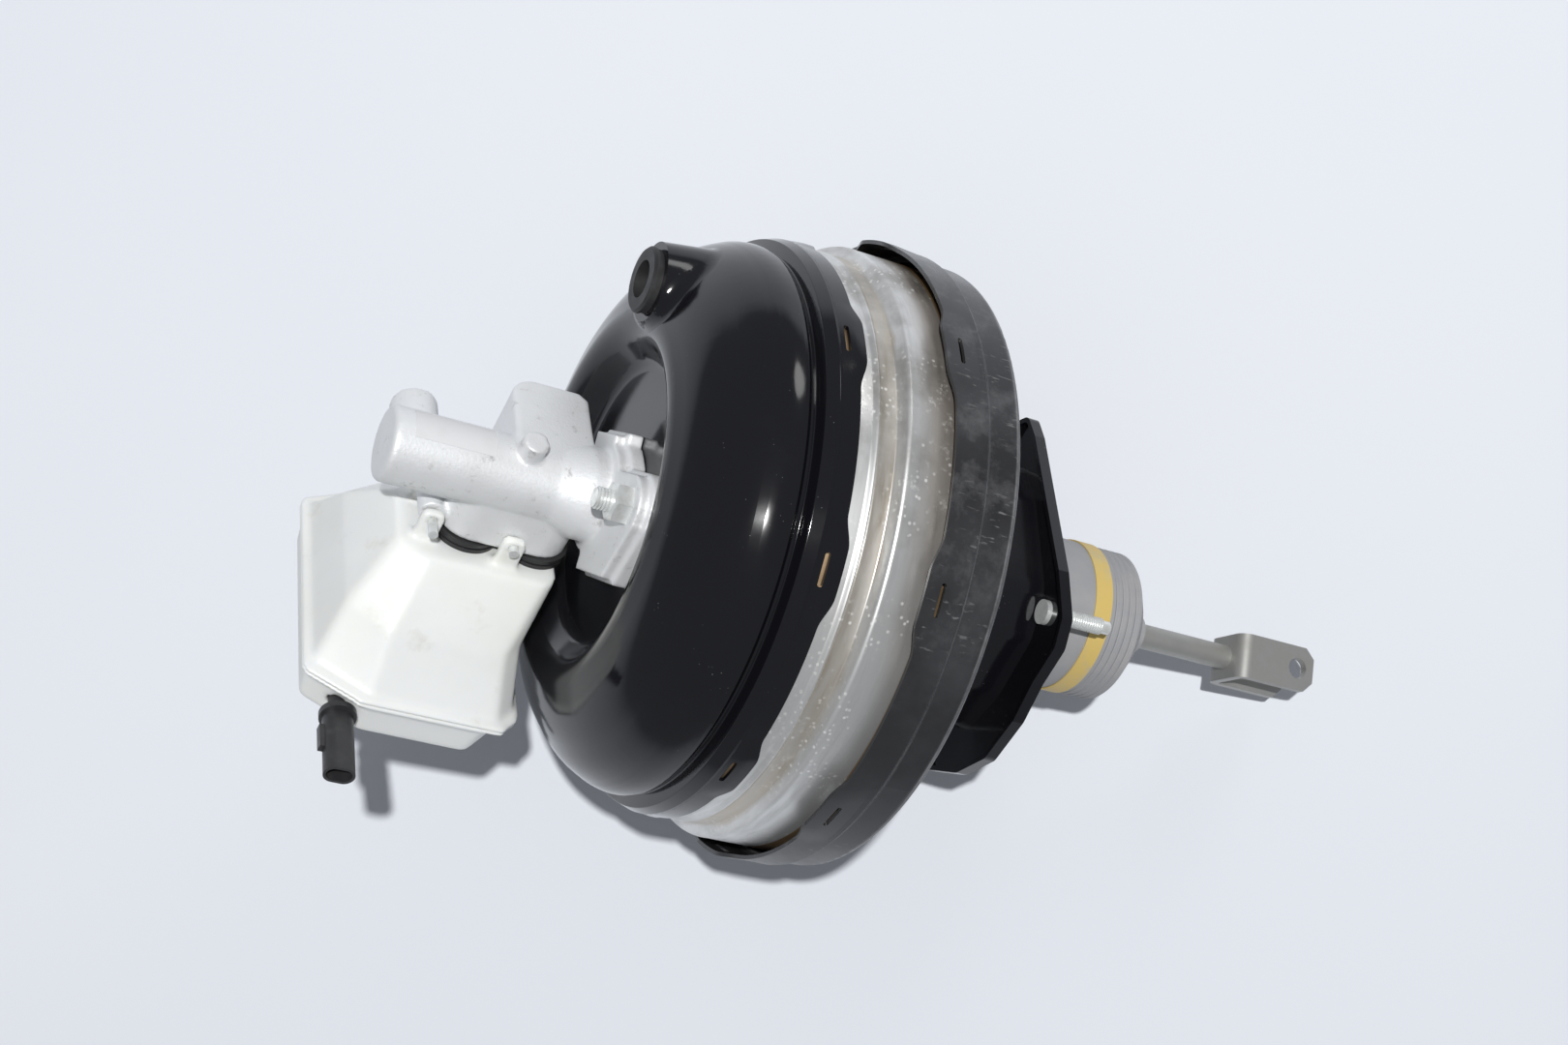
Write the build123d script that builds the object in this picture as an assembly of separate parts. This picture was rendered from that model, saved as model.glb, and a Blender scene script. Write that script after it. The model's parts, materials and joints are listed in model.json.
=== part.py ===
from build123d import *
import os
from math import cos, radians, tan

os.makedirs("parts", exist_ok=True)

# Tandem vacuum brake booster with its master cylinder and fluid reservoir, in millimetres.
# The x axis is the booster's axis and points to the pedal. The z axis points up, to the reservoir.
# The origin is where the axis meets the bracket face that bolts to the bulkhead.

# General sizes
overrun = 2.0
sheet = 1.8
slide_gap = 0.05
seat_gap = 0.3
bolt_angle = -38.0

# Lengths along the booster, from the bulkhead forwards
bracket_depth = 38.0
rear_dome_length = 39.0
rear_drum_width = 36.0
rear_hem_width = 18.9
band_width = 32.0
front_lap_width = 18.0
groove_width = 5.7
front_dome_length = 44.6
recess_depth = 16.5

# Radii of the casing
back_radius = 70.0
back_round = 12.0
rear_body_radius = 140.7
rear_lap_rise = 2.5
band_drop = 3.7
front_lap_drop = 5.0
drum_drop = 5.8
crest_radius = 77.0
recess_radius = 64.0
edge_round = 1.2

# Crimp tabs round the two laps
tab_count = 8
tab_first_angle = -36.0
tab_length = 30.0
tab_width = 11.0
tab_rise = 1.5
tab_inset = 3.0
tab_slot_length = 15.0
tab_slot_width = 2.4

# Vacuum port
port_angle = -120.0
port_inset = 28.7
port_boss_radius = 18.0
port_boss_spread = 6.0
port_boss_rise = 0.5
port_hole_radius = 11.5
grommet_radius = 15.0
grommet_bore = 8.5
grommet_lip = 4.6
grommet_inner_lip = 3.0

# Bracket and bulkhead studs
bracket_sheet = 3.0
bracket_half_width = 70.0
bracket_half_height = 88.0
bracket_corner_round = 6.0
bracket_rim = 2.4
bracket_rim_depth = 5.5
foot_half_height = 70.0
foot_round = 12.0
foot_draft = 5.0
stud_circle = 50.0
stud_radius = 4.0
stud_length = 31.0
stud_shank_radius = 5.0
stud_head_radius = 5.8
stud_head = 2.5
stud_tip_radius = 3.1
stud_tip = 4.0

# Rear neck, boot and its band
neck_radius = 32.0
neck_length = 10.0
neck_seal_ahead = 9.0
boot_radius = 36.0
boot_length = 56.0
boot_wall = 1.8
boot_rib = 1.2
boot_rib_count = 4
boot_end_radius = 9.5
boot_taper_length = 14.0
boot_cuff_length = 6.0
band_strip = 9.0
band_strip_thickness = 0.6
band_strip_place = 30.0

# Master cylinder
bolt_circle = 43.0
flange_thickness = 12.5
flange_step = 5.5
flange_centre_radius = 27.0
flange_lobe_radius = 15.5
flange_lug = 35.0
flange_arm = 30.5
flange_arm_half = 15.0
flange_arm_aside = 6.0
flange_round = 4.0
flange_inset = 2.0
barrel_radius = 17.0
barrel_length = 98.0
barrel_chamfer = 1.6
swell_radius = 21.0
swell_length = 22.0
spigot_radius = 18.3
spigot_length = 14.0
bore_radius = 12.7
bore_end_wall = 5.0
cylinder_stud_radius = 5.0
cylinder_stud_reach = 7.0
nut_flats = 16.0
nut_height = 8.0
front_port_ahead = 60.5
rear_port_ahead = 29.0
port_pad_radius = 14.5
port_pad_height = 30.5
port_pocket_radius = 10.0
port_pocket_depth = 6.0
feed_radius = 2.5
outlet_front_from_end = 15.0
outlet_front_radius = 10.5
outlet_front_reach = 29.7
outlet_rear_width = 37.0
outlet_rear_height = 34.0
outlet_rear_reach = 48.0
outlet_rear_ahead = 36.5
outlet_thread_radius = 5.0
outlet_thread_depth = 14.0
gate_radius = 6.0
gate_reach = 25.0
gate_angle = -80.0
gate_ahead = 50.0
pin_radius = 2.2
pin_length = 46.0
pin_drop = 6.0
pin_eye_radius = 6.0
pin_eye_half = 9.0

# Reservoir
reservoir_wall = 2.4
grommet_seat = 5.0
feed_grommet_radius = 16.2
outlet_tube_radius = 7.4
outlet_tube_wall = 2.0
floor_front_ahead = 91.0
floor_rear_ahead = 17.0
floor_half_width = 25.0
waist_rise = 26.0
seam_rise = 53.0
seam_front_ahead = 114.0
seam_rear_ahead = 19.0
seam_half_width = 66.0
seam_lip = 2.6
seam_thickness = 2.4
upper_height = 20.0
upper_slope = 2.0
corner_cut = 14.0
corner_round = 5.0
seam_cut_shares = ((1.9, 1), (0.6, 0.7))
lug_width = 10.8
lug_thickness = 5.0
lug_drop = 15.0
filler_ahead = 62.0
filler_radius = 24.0
filler_wall = 2.2
filler_height = 12.0
cap_radius = 29.0
cap_height = 15.0
cap_wall = 2.2
cap_grip_count = 18
cap_seal = 1.6
strainer_depth = 24.0
strainer_wall = 1.2
sensor_ahead = 97.0
sensor_drop = 8.5
sensor_stick_radius = 4.0
sensor_stick_reach = 68.0
sensor_well_wall = 1.4
sensor_socket_width = 14.0
sensor_socket_height = 9.5
sensor_socket_length = 36.0
sensor_socket_wall = 1.3
sensor_socket_depth = 9.0
sensor_collar = 3.0
float_radius = 8.0
float_height = 12.0
float_post_radius = 2.4
float_post_foot_radius = 4.08
float_travel = 12.0
float_aside = 10.0
float_rise = 32.0

# Servo parts inside the casing
stroke = 32.0
valve_radius = 26.0
valve_rear_reach = 44.0
valve_nose_gap = 6.5
valve_shoulder = 4.0
valve_collar_ahead = 57.8
valve_collar = 4.0
valve_collar_step = 8.0
divider_ahead = 131.0
divider_sheet = 2.0
seal_width = 8.0
seal_section = 4.0
plate_sheet = 1.6
front_plate_margin = 28.0
rear_plate_margin = 28.7
rubber = 1.8
bead = 5.0
bead_place_share = 1.2
front_bead_share = 1.2
plate_rim_turn = 45
front_fold = 22.5
rear_fold = 25.0
rear_bead_width = 3.5
plunger_radius = 8.0
plunger_lost_motion = 1.6
ball_radius = 6.5
ball_cup_radius = 11.0
ball_cup_length = 17.0
rod_radius = 6.0
rod_tenon_radius = 4.5
rod_neck_radius = 4.2
ball_ahead = 52.0
valve_bore_radius = 20.0
poppet_ahead = 26.0
poppet_thickness = 4.0
poppet_bore = 11.5
retainer_ahead = 8.0
retainer_thickness = 4.0
seat_bore = 12.0
rod_collar_behind = 20.0
rod_collar_radius = 11.5
rod_collar_step = 2.72
filter_thickness = 14.0
filter_bore = 12.5
key_thickness = 3.0
key_width = 18.0
key_ahead = 98.0
plunger_groove_radius = 5.0
reaction_radius = 14.0
reaction_disc_thickness = 4.0
output_head = 5.0
output_rod_radius = 6.0
output_cup_depth = 13.0
spring_wire = 3.4
spring_turns = 3.5
spring_radius = 30.0
small_spring_wire = 1.6
small_spring_turns = 4
reinforcement = 2.5

# Pistons
guide_radius = 15.4
guide_length = 12.0
primary_behind = 8.0
primary_length = 49.0
primary_pocket_radius = 9.0
primary_pocket_depth = 21.0
secondary_length = 15.0
secondary_pocket_depth = 8.0
piston_nose_gap = 3.6
cup_width = 4.0
cup_depth = 2.2
piston_spring_wire = 1.8
secondary_stroke_share = 0.6

# Pedal rod and clevis
clevis_hole_reach = 163.0
clevis_end = 9.5
clevis_back = 33.5
clevis_height = 22.0
clevis_plate = 4.0
clevis_width = 29.0
clevis_hole_radius = 5.2
clevis_chamfer = 5.0
clevis_roll = -54.0
clevis_bend = 6.0

# Radii and places worked out from those sizes
rear_lap_radius = rear_body_radius + rear_lap_rise
band_radius = rear_body_radius - band_drop
front_lap_radius = band_radius - front_lap_drop
drum_radius = front_lap_radius - drum_drop
port_radius = drum_radius - port_inset
front_plate_radius = front_lap_radius - front_plate_margin
rear_plate_radius = rear_body_radius - rear_plate_margin
back_x = -bracket_depth
rear_corner_x = back_x - rear_dome_length
rear_edge_x = rear_corner_x - rear_drum_width
front_edge_x = rear_edge_x - band_width
lap_front_x = front_edge_x - front_lap_width
drum_x = lap_front_x - groove_width
crest_x = drum_x - front_dome_length
floor_x = crest_x + recess_depth
flange_x = floor_x - flange_thickness
barrel_end_x = flange_x - barrel_length
port_face_x = crest_x - port_boss_rise
front_port_x = floor_x - front_port_ahead
rear_port_x = floor_x - rear_port_ahead
reservoir_floor_z = port_pad_height + grommet_seat
waist_z = reservoir_floor_z + waist_rise
seam_z = reservoir_floor_z + seam_rise
roof_z = seam_z + upper_height
filler_x = floor_x - filler_ahead
seam_front = floor_x - seam_front_ahead
seam_rear = floor_x - seam_rear_ahead - seam_lip / 2
sensor_x = floor_x - sensor_ahead
sensor_z = roof_z - sensor_drop
pin_z = port_pad_height - pin_drop
pin_front_x = front_port_x - port_pad_radius - pin_radius * 2 - seat_gap
pin_rear_x = (front_port_x + rear_port_x) / 2 + pin_radius
spigot_x = floor_x + spigot_length
piston_rear_x = spigot_x + primary_behind
divider_x = -divider_ahead
valve_front_x = spigot_x + stroke + valve_nose_gap
ball_x = -ball_ahead
plate_x = valve_front_x + valve_shoulder - plate_sheet - rubber - seat_gap
collar_x = -valve_collar_ahead - valve_collar
rear_plate_x = collar_x - rubber - plate_sheet - seat_gap
bead_x = lap_front_x + sheet * front_bead_share
rear_bead_x = rear_corner_x - bead * bead_place_share
divider_rim_x = lap_front_x + groove_width
primary_front_x = piston_rear_x - primary_length
secondary_rear_x = primary_front_x - stroke * (1 - secondary_stroke_share) - piston_nose_gap
secondary_front_x = secondary_rear_x - secondary_length
clevis_back_x = clevis_hole_reach - clevis_back
clevis_end_x = clevis_hole_reach + clevis_end
float_low = reservoir_floor_z + float_rise
foot_half_width = stud_circle - stud_head_radius - seat_gap


def bar(radius, start, end):
    """A round bar along the booster's axis."""
    return Pos(start, 0, 0) * extrude(Plane.YZ * Circle(radius), end - start)


def ring(outer, inner, start, end):
    """A plain ring round the booster's axis."""
    face = Circle(outer) - Circle(inner)
    return Pos(start, 0, 0) * extrude(Plane.YZ * face, end - start)


def turned(*corners):
    """A solid turned from a closed outline of (x, radius) corners."""
    return revolve(make_face(Polyline(*corners, close=True)), Axis.X, 360)


def pressed(corners, rounds, thickness=sheet, side=Side.RIGHT):
    """Sheet metal turned from one line of (x, radius) corners, each with its own bend."""
    line = FilletPolyline(*corners, radius=rounds)
    return revolve(make_face(offset(line, thickness, side=side, closed=True)), Axis.X, 360)


def filled(line):
    """The solid of revolution under a line that starts and ends away from the axis."""
    start, end = line @ 0, line @ 1
    closing = Polyline(end, (end.X, 0), (start.X, 0), start)
    return revolve(make_face(line + closing), Axis.X, 360)


def at_angle(angle, shape):
    """The shape turned round the booster's axis from the y direction."""
    return Rot(angle, 0, 0) * shape


def beside(radius, shape):
    """The shape moved sideways from the axis along y."""
    return Pos(0, radius, 0) * shape


def pair_round(circle, angle, shape):
    """Two copies of a shape on opposite sides of a circle round the axis."""
    return [at_angle(angle + turn, beside(circle, shape)) for turn in (0, 180)]


def upright(radius, x, low, high, y=0):
    """A round post along z."""
    return Pos(x, y, low) * extrude(Circle(radius), high - low)


def crosswise(radius, x, z, start, end):
    """A round bar along y."""
    face = Plane((x, start, z), x_dir=(1, 0, 0), z_dir=(0, 1, 0)) * Circle(radius)
    return extrude(face, end - start)


def coil(radius, wire, start, end, turns):
    """A wire spring along the axis, between the faces that it pushes apart."""
    first = start + wire / 2 + slide_gap
    travel = end - start - wire - slide_gap * 2
    path = Helix(travel / turns, travel, radius, center=(first, 0, 0), direction=(1, 0, 0))
    section = Plane(path @ 0, z_dir=path % 0) * RegularPolygon(wire / 2, 6)
    return sweep(section, path, is_frenet=True)


def front_line():
    """The outer line of the front shell, from the floor of its recess to the lap."""
    dome_shares = [(0.17, 0.5), (0.53, 0.86), (0.85, 1)]
    dome_round_shares = [0.17, 0.3, 1.0, 0.75, 0.5]
    slope_share = 0.3
    rise = drum_radius - crest_radius
    corners = [(floor_x, spigot_radius + seat_gap), (floor_x, recess_radius), (crest_x, crest_radius)]
    for along, out in dome_shares:
        corners.append((crest_x + front_dome_length * along, crest_radius + rise * out))
    corners += [
        (drum_x, drum_radius),
        (drum_x + groove_width * slope_share, drum_radius - sheet),
        (lap_front_x - groove_width * slope_share, drum_radius - sheet),
        (lap_front_x, front_lap_radius - sheet),
        (lap_front_x + front_lap_width * slope_share, front_lap_radius),
        (front_edge_x, front_lap_radius),
    ]
    rounds = [front_dome_length * share for share in dome_round_shares]
    return corners, rounds + [edge_round / 2] * 5


def lap_tabs(edge, radius, direction):
    """Raised crimp pads on a lap, and the slots through them."""
    middle = edge - direction * tab_inset
    face = Plane((middle, 0, 0), x_dir=(1, 0, 0), z_dir=(0, 1, 0))
    pad = extrude(face * Ellipse(tab_width / 2, tab_length / 2), radius * 2)
    pad = pad & ring(radius + tab_rise, radius - sheet / 2, middle - tab_width, middle + tab_width)
    slot_face = face * SlotOverall(tab_slot_length, tab_slot_width, rotation=90)
    slot = Pos(-direction * edge_round, 0, 0) * extrude(slot_face, radius * 2)
    turns = [tab_first_angle + 360 / tab_count * step for step in range(tab_count)]
    return [at_angle(turn, pad) for turn in turns], [at_angle(turn, slot) for turn in turns]


def front_shell():
    corners, rounds = front_line()
    line = FilletPolyline(*corners, radius=rounds)
    inner_line = offset(line, sheet, side=Side.RIGHT, closed=False)
    boss_end_x = drum_x
    boss = beside(port_radius, turned(
        (port_face_x, 0), (port_face_x, port_boss_radius),
        (boss_end_x, port_boss_radius + port_boss_spread), (boss_end_x, 0)))
    hollow = beside(port_radius, turned(
        (port_face_x + sheet, 0), (port_face_x + sheet, port_boss_radius - sheet),
        (boss_end_x, port_boss_radius + port_boss_spread - sheet), (boss_end_x, 0)))
    outer = filled(line) + at_angle(port_angle, boss)
    seams = [edge for edge in outer.edges() if edge.geom_type == GeomType.BSPLINE]
    outer = fillet(seams, port_boss_radius / 2)
    inner = filled(inner_line) + at_angle(port_angle, hollow)
    shell = outer - inner - bar(spigot_radius + seat_gap, floor_x - overrun, floor_x + sheet + overrun)
    shell -= at_angle(port_angle, beside(port_radius, bar(
        port_hole_radius, port_face_x - overrun, port_face_x + sheet + overrun)))
    for hole in pair_round(bolt_circle, bolt_angle, bar(
            cylinder_stud_radius + seat_gap, floor_x - overrun, floor_x + sheet + overrun)):
        shell -= hole
    pads, slots = lap_tabs(front_edge_x, front_lap_radius, 1)
    return shell.fuse(*pads).cut(*slots)


def reinforcement_plate():
    start = floor_x + sheet
    plate = ring(recess_radius - edge_round * 4, spigot_radius + seat_gap, start, start + reinforcement)
    for hole in pair_round(bolt_circle, bolt_angle, bar(
            cylinder_stud_radius + seat_gap, start - overrun, start + reinforcement + overrun)):
        plate -= hole
    return plate


def cylinder_studs():
    head_x = floor_x + sheet + reinforcement
    tip_x = flange_x - nut_height - cylinder_stud_reach
    stud = bar(cylinder_stud_radius, tip_x, head_x) + bar(cylinder_stud_radius * 2, head_x, head_x + stud_head)
    stud = chamfer(stud.edges().sort_by(Axis.X)[0], edge_round / 2)
    return pair_round(bolt_circle, bolt_angle, stud)


def cylinder_nuts():
    face = RegularPolygon(nut_flats / 2, 6, major_radius=False)
    nut = Pos(flange_x - nut_height, 0, 0) * extrude(Plane.YZ * face, nut_height)
    corner = nut_flats / 2 / cos(radians(30))
    cone = turned(
        (flange_x - nut_height, 0), (flange_x - nut_height, nut_flats / 2 - edge_round / 2),
        (flange_x - nut_height + edge_round, corner), (flange_x, corner), (flange_x, 0))
    nut = (nut & cone) - bar(cylinder_stud_radius, flange_x - nut_height - overrun, flange_x + overrun)
    return pair_round(bolt_circle, bolt_angle, nut)


def vacuum_grommet():
    neck_x = port_face_x + sheet
    grommet = turned(
        (port_face_x - grommet_lip, grommet_bore), (port_face_x - grommet_lip, grommet_radius - edge_round),
        (port_face_x - grommet_lip + edge_round, grommet_radius), (port_face_x - grommet_lip / 2, grommet_radius),
        (port_face_x - grommet_lip / 2, grommet_radius - edge_round / 2),
        (port_face_x, grommet_radius - edge_round / 2),
        (port_face_x, port_hole_radius), (neck_x, port_hole_radius),
        (neck_x, port_hole_radius + edge_round * 2), (neck_x + grommet_inner_lip, port_hole_radius),
        (neck_x + grommet_inner_lip, grommet_bore))
    return at_angle(port_angle, beside(port_radius, grommet))


def centre_housing():
    """The bright ring between the two shells, with a flat, a recess and a bead along its width."""
    band_shares = [(0.155, 0), (0.275, 0.55), (0.5, 0.65), (0.56, 0.4), (0.76, 0.5), (0.84, 1)]
    under_front_lap = front_lap_radius - sheet - seat_gap
    under_rear_lap = rear_body_radius - sheet - seat_gap
    step = band_radius - under_front_lap
    corners = [(lap_front_x + groove_width, under_front_lap)]
    for along, out in band_shares:
        corners.append((front_edge_x + band_width * along, under_front_lap + step * out))
    corners += [
        (rear_bead_x - bead, band_radius),
        (rear_bead_x - bead / 2, under_rear_lap),
        (rear_bead_x, under_rear_lap),
    ]
    small = edge_round / 2
    return pressed(corners, [small, small, edge_round * 2, small, small, edge_round * 2, small / 2, small / 2])


def rear_shell():
    hem_x = rear_edge_x + rear_hem_width
    corners = [
        (neck_length - overrun, neck_radius),
        (back_x, neck_radius),
        (back_x, back_radius),
        (rear_corner_x, rear_body_radius),
        (hem_x + rear_lap_rise, rear_body_radius),
        (hem_x, rear_lap_radius),
        (rear_edge_x, rear_lap_radius),
    ]
    shell = pressed(corners, [sheet, back_round, bead, edge_round, edge_round / 2], side=Side.LEFT)
    pads, slots = lap_tabs(rear_edge_x, rear_lap_radius, -1)
    return shell.fuse(*pads).cut(*slots)


def rounded_outline(shares, half_width, half_height, corner):
    """A closed outline whose corners are shares of its half sizes, all of them rounded."""
    points = [(half_width * across, half_height * up) for across, up in shares]
    face = make_face(Polyline(*points, close=True))
    return fillet(face.vertices(), corner)


def bracket_foot(inset, end):
    """The solid inside the foot's wall, from the flange to the given end, with the near stud along y."""
    foot_shares = [(1, -0.15), (1, 0.2), (0.62, 0.62), (0, 1), (-1, 0.15), (-1, -0.2), (-0.27, -1), (0.32, -0.71)]
    sections = []
    for x, smaller in ((0, inset), (end, inset + foot_draft)):
        outline = rounded_outline(foot_shares, foot_half_width - smaller, foot_half_height - smaller, foot_round)
        sections.append(Pos(x, 0, 0) * (Plane.YZ * outline))
    return loft(sections, ruled=True)


def mounting_bracket():
    """A pressed hat: a flange for the bulkhead, and a tapered foot that stands on the shell round its neck."""
    flange_shares = [(1, 0), (1, 0.16), (0.84, 0.36), (0.72, 0.58), (0.48, 0.82), (0.15, 0.95), (-0.3, 1), (-0.8, 0.5),
                     (-1, 0.1), (-0.95, -0.1), (-0.25, -0.97), (-0.13, -1), (0.03, -0.9), (0.8, -0.23)]
    outline = rounded_outline(flange_shares, bracket_half_width, bracket_half_height, bracket_corner_round)
    floor_end = back_x + bracket_sheet
    rim = outline - offset(outline, -bracket_rim)
    bracket = extrude(Plane.YZ * outline, -bracket_sheet) + extrude(Plane.YZ * rim, -bracket_rim_depth)
    bracket += bracket_foot(0, back_x)
    bracket -= bracket_foot(bracket_sheet, floor_end)
    bracket -= bar(neck_radius + sheet + seat_gap, back_x - overrun, floor_end + overrun)
    for hole in pair_round(stud_circle, 0, bar(stud_shank_radius + slide_gap, -bracket_sheet - overrun, overrun)):
        bracket -= hole
    return at_angle(bolt_angle, bracket)


def bulkhead_studs():
    """Pressed-in studs: a head in front of the flange, a shank in it and the thread behind it."""
    head_x = -bracket_sheet
    stud = bar(stud_head_radius, head_x - stud_head, head_x) + bar(stud_shank_radius, head_x, 0)
    thread_end = stud_length - stud_tip
    stud += bar(stud_radius, 0, thread_end) + bar(stud_tip_radius, thread_end, stud_length)
    stud = chamfer(stud.edges().sort_by(Axis.X)[-1], edge_round / 2)
    return pair_round(stud_circle, bolt_angle, stud)


def neck_seal():
    start = -neck_seal_ahead
    return ring(neck_radius - sheet - slide_gap, valve_radius + slide_gap, start, start + seal_width)


def dust_boot():
    groove_shares = [(0, 0), (0.3, 1), (0.6, 0)]
    shoulder_shares = (0.6, 0.68)
    start = seat_gap
    rise = boot_radius - neck_radius
    corners = [(start, neck_radius + boot_wall), (neck_length, neck_radius + boot_wall),
               (neck_length + rise, boot_radius)]
    rib_start = band_strip_place + band_strip + boot_rib * 2
    pitch = (boot_length - rib_start) / boot_rib_count
    for step in range(boot_rib_count):
        place = rib_start + pitch * step
        for along, deep in groove_shares:
            corners.append((place + pitch * along, boot_radius - boot_rib * deep))
    end = boot_length + boot_taper_length
    shoulder_along, shoulder_out = shoulder_shares
    corners += [(boot_length, boot_radius),
                (boot_length + boot_taper_length * shoulder_along, boot_radius * shoulder_out),
                (end, boot_end_radius), (end + boot_cuff_length, boot_end_radius)]
    count = len(corners) - 2
    rounds = [boot_rib / 3] * count
    rounds[-2] = boot_wall
    line = FilletPolyline(*corners, radius=rounds)
    wall = offset(line, boot_wall - slide_gap, side=Side.RIGHT, closed=True)
    boot = revolve(make_face(wall), Axis.X, 360)
    return boot + ring(boot_end_radius, rod_radius + slide_gap, end + overrun, end + boot_cuff_length)


def boot_band():
    start = band_strip_place
    inside = boot_radius + slide_gap
    return ring(inside + band_strip_thickness, inside, start, start + band_strip)


def flange_outline():
    """The flange's outline, with the near bolt along the sketch's x."""
    tip_shares = (0.95, 0.5)
    lobe = flange_lobe_radius
    face = Circle(flange_centre_radius) + Rectangle(bolt_circle * 2, lobe * 2)
    for side in (-1, 1):
        face += Pos(side * bolt_circle, 0) * Circle(lobe)
    face += Pos(-flange_arm_aside, -flange_arm / 2) * Rectangle(flange_arm_half * 2, flange_arm)
    tip = (bolt_circle + lobe * tip_shares[0], lobe * tip_shares[1])
    far = [(flange_lug, flange_lug), (-flange_round, flange_lug)]
    lug = Polyline((0, 0), (bolt_circle, 0), tip, *far, close=True)
    return face + make_face(lug)


def flange_plate():
    outline = flange_outline()
    step = flange_thickness - flange_step
    back = extrude(Plane.YZ * outline, -step)
    front = extrude(Plane.YZ * offset(outline, -flange_inset), -flange_thickness)
    plate = Pos(floor_x, 0, 0) * (back + front)
    return at_angle(bolt_angle, plate)


def master_cylinder_body():
    swell_x = flange_x - swell_length
    line = FilletPolyline(
        (barrel_end_x, barrel_radius - barrel_chamfer), (barrel_end_x + barrel_chamfer, barrel_radius),
        (swell_x, barrel_radius), (flange_x - swell_length / 3, swell_radius),
        (flange_x + edge_round, swell_radius),
        radius=[barrel_chamfer / 3, swell_length / 2, swell_length / 4])
    body = filled(line) + flange_plate()
    pads = Pos((front_port_x + rear_port_x) / 2, 0, 0) * SlotCenterToCenter(
        rear_port_x - front_port_x, port_pad_radius * 2)
    body += extrude(pads, port_pad_height)
    body += bar(spigot_radius, floor_x - overrun, spigot_x)
    front_outlet_x = barrel_end_x + outlet_front_from_end
    body += crosswise(outlet_front_radius, front_outlet_x, 0, -outlet_front_reach, 0)
    block_x = floor_x - outlet_rear_ahead
    block = Pos(block_x, -outlet_rear_reach / 2, 0) * Box(outlet_rear_width, outlet_rear_reach, outlet_rear_height)
    corners = block.edges().filter_by(Axis.Z).group_by(Axis.Y)[0].sort_by(Axis.X)
    block = fillet(corners[0], outlet_rear_width / 3)
    corners = block.edges().filter_by(Axis.Z).group_by(Axis.Y)[0].sort_by(Axis.X)
    block = chamfer(corners[-1], outlet_rear_width / 9)
    block = fillet(block.faces().filter_by(Axis.Z).edges(), edge_round)
    body += block
    gate = at_angle(gate_angle, Pos(floor_x - gate_ahead, 0, 0) * extrude(
        Plane.XZ * Circle(gate_radius), -gate_reach))
    body += gate
    body += crosswise(pin_eye_radius, pin_front_x, pin_z, -pin_eye_half, pin_eye_half)
    bore_end = barrel_end_x + bore_end_wall
    body -= bar(bore_radius, bore_end, spigot_x + overrun)
    body -= bar(guide_radius, spigot_x - guide_length, spigot_x + overrun)
    body -= ring(spigot_radius + overrun, spigot_radius - cup_depth, floor_x, floor_x + sheet)
    for x in (front_port_x, rear_port_x):
        body -= upright(port_pocket_radius, x, port_pad_height - port_pocket_depth, port_pad_height + overrun)
        body -= upright(feed_radius, x, 0, port_pad_height)
    for x, reach in ((front_outlet_x, outlet_front_reach), (block_x, outlet_rear_reach)):
        body -= crosswise(outlet_thread_radius, x, 0, -reach - overrun, -reach + outlet_thread_depth)
        body -= crosswise(feed_radius, x, 0, -reach, 0)
    for x in (pin_front_x, pin_rear_x):
        body -= crosswise(pin_radius + slide_gap, x, pin_z, -pin_length / 2, pin_length / 2)
    for hole in pair_round(bolt_circle, bolt_angle, bar(
            cylinder_stud_radius + seat_gap, flange_x - overrun, floor_x + overrun)):
        body -= hole
    return body


def cylinder_seal():
    outer = spigot_radius + seat_gap - slide_gap
    inner = spigot_radius - cup_depth + slide_gap
    return ring(outer, inner, floor_x + slide_gap, floor_x + sheet - slide_gap)


def roll_pins():
    return [crosswise(pin_radius, x, pin_z, -pin_length / 2, pin_length / 2) for x in (pin_front_x, pin_rear_x)]


def feed_grommets():
    groove_shares = (0.4, 0.6)
    low = port_pad_height - port_pocket_depth
    groove_low, groove_high = [port_pad_height + grommet_seat * share for share in groove_shares]
    grommets = []
    for x in (front_port_x, rear_port_x):
        grommet = upright(port_pocket_radius - slide_gap, x, low, reservoir_floor_z)
        grommet += upright(feed_grommet_radius, x, port_pad_height, reservoir_floor_z)
        groove = upright(feed_grommet_radius + overrun, x, groove_low, groove_high)
        groove -= upright(feed_grommet_radius - edge_round / 2, x, port_pad_height, reservoir_floor_z)
        grommet -= groove
        grommets.append(grommet - upright(outlet_tube_radius + slide_gap, x, low - overrun, roof_z))
    return grommets


def plan_outline(front, rear, half, cut_shares, inset):
    """A reservoir section seen from above: a long octagon, the same on both sides."""
    cuts = [(corner_cut * along, corner_cut * across) for along, across in cut_shares]
    (front_x, front_y), (rear_x, rear_y) = cuts
    start, end, side = front + inset, rear - inset, half - inset
    near = [(start, side - front_y), (start + front_x, side), (end - rear_x, side), (end, side - rear_y)]
    far = [(x, -y) for x, y in reversed(near)]
    return make_face(Polyline(*near, *far, close=True))


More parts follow.
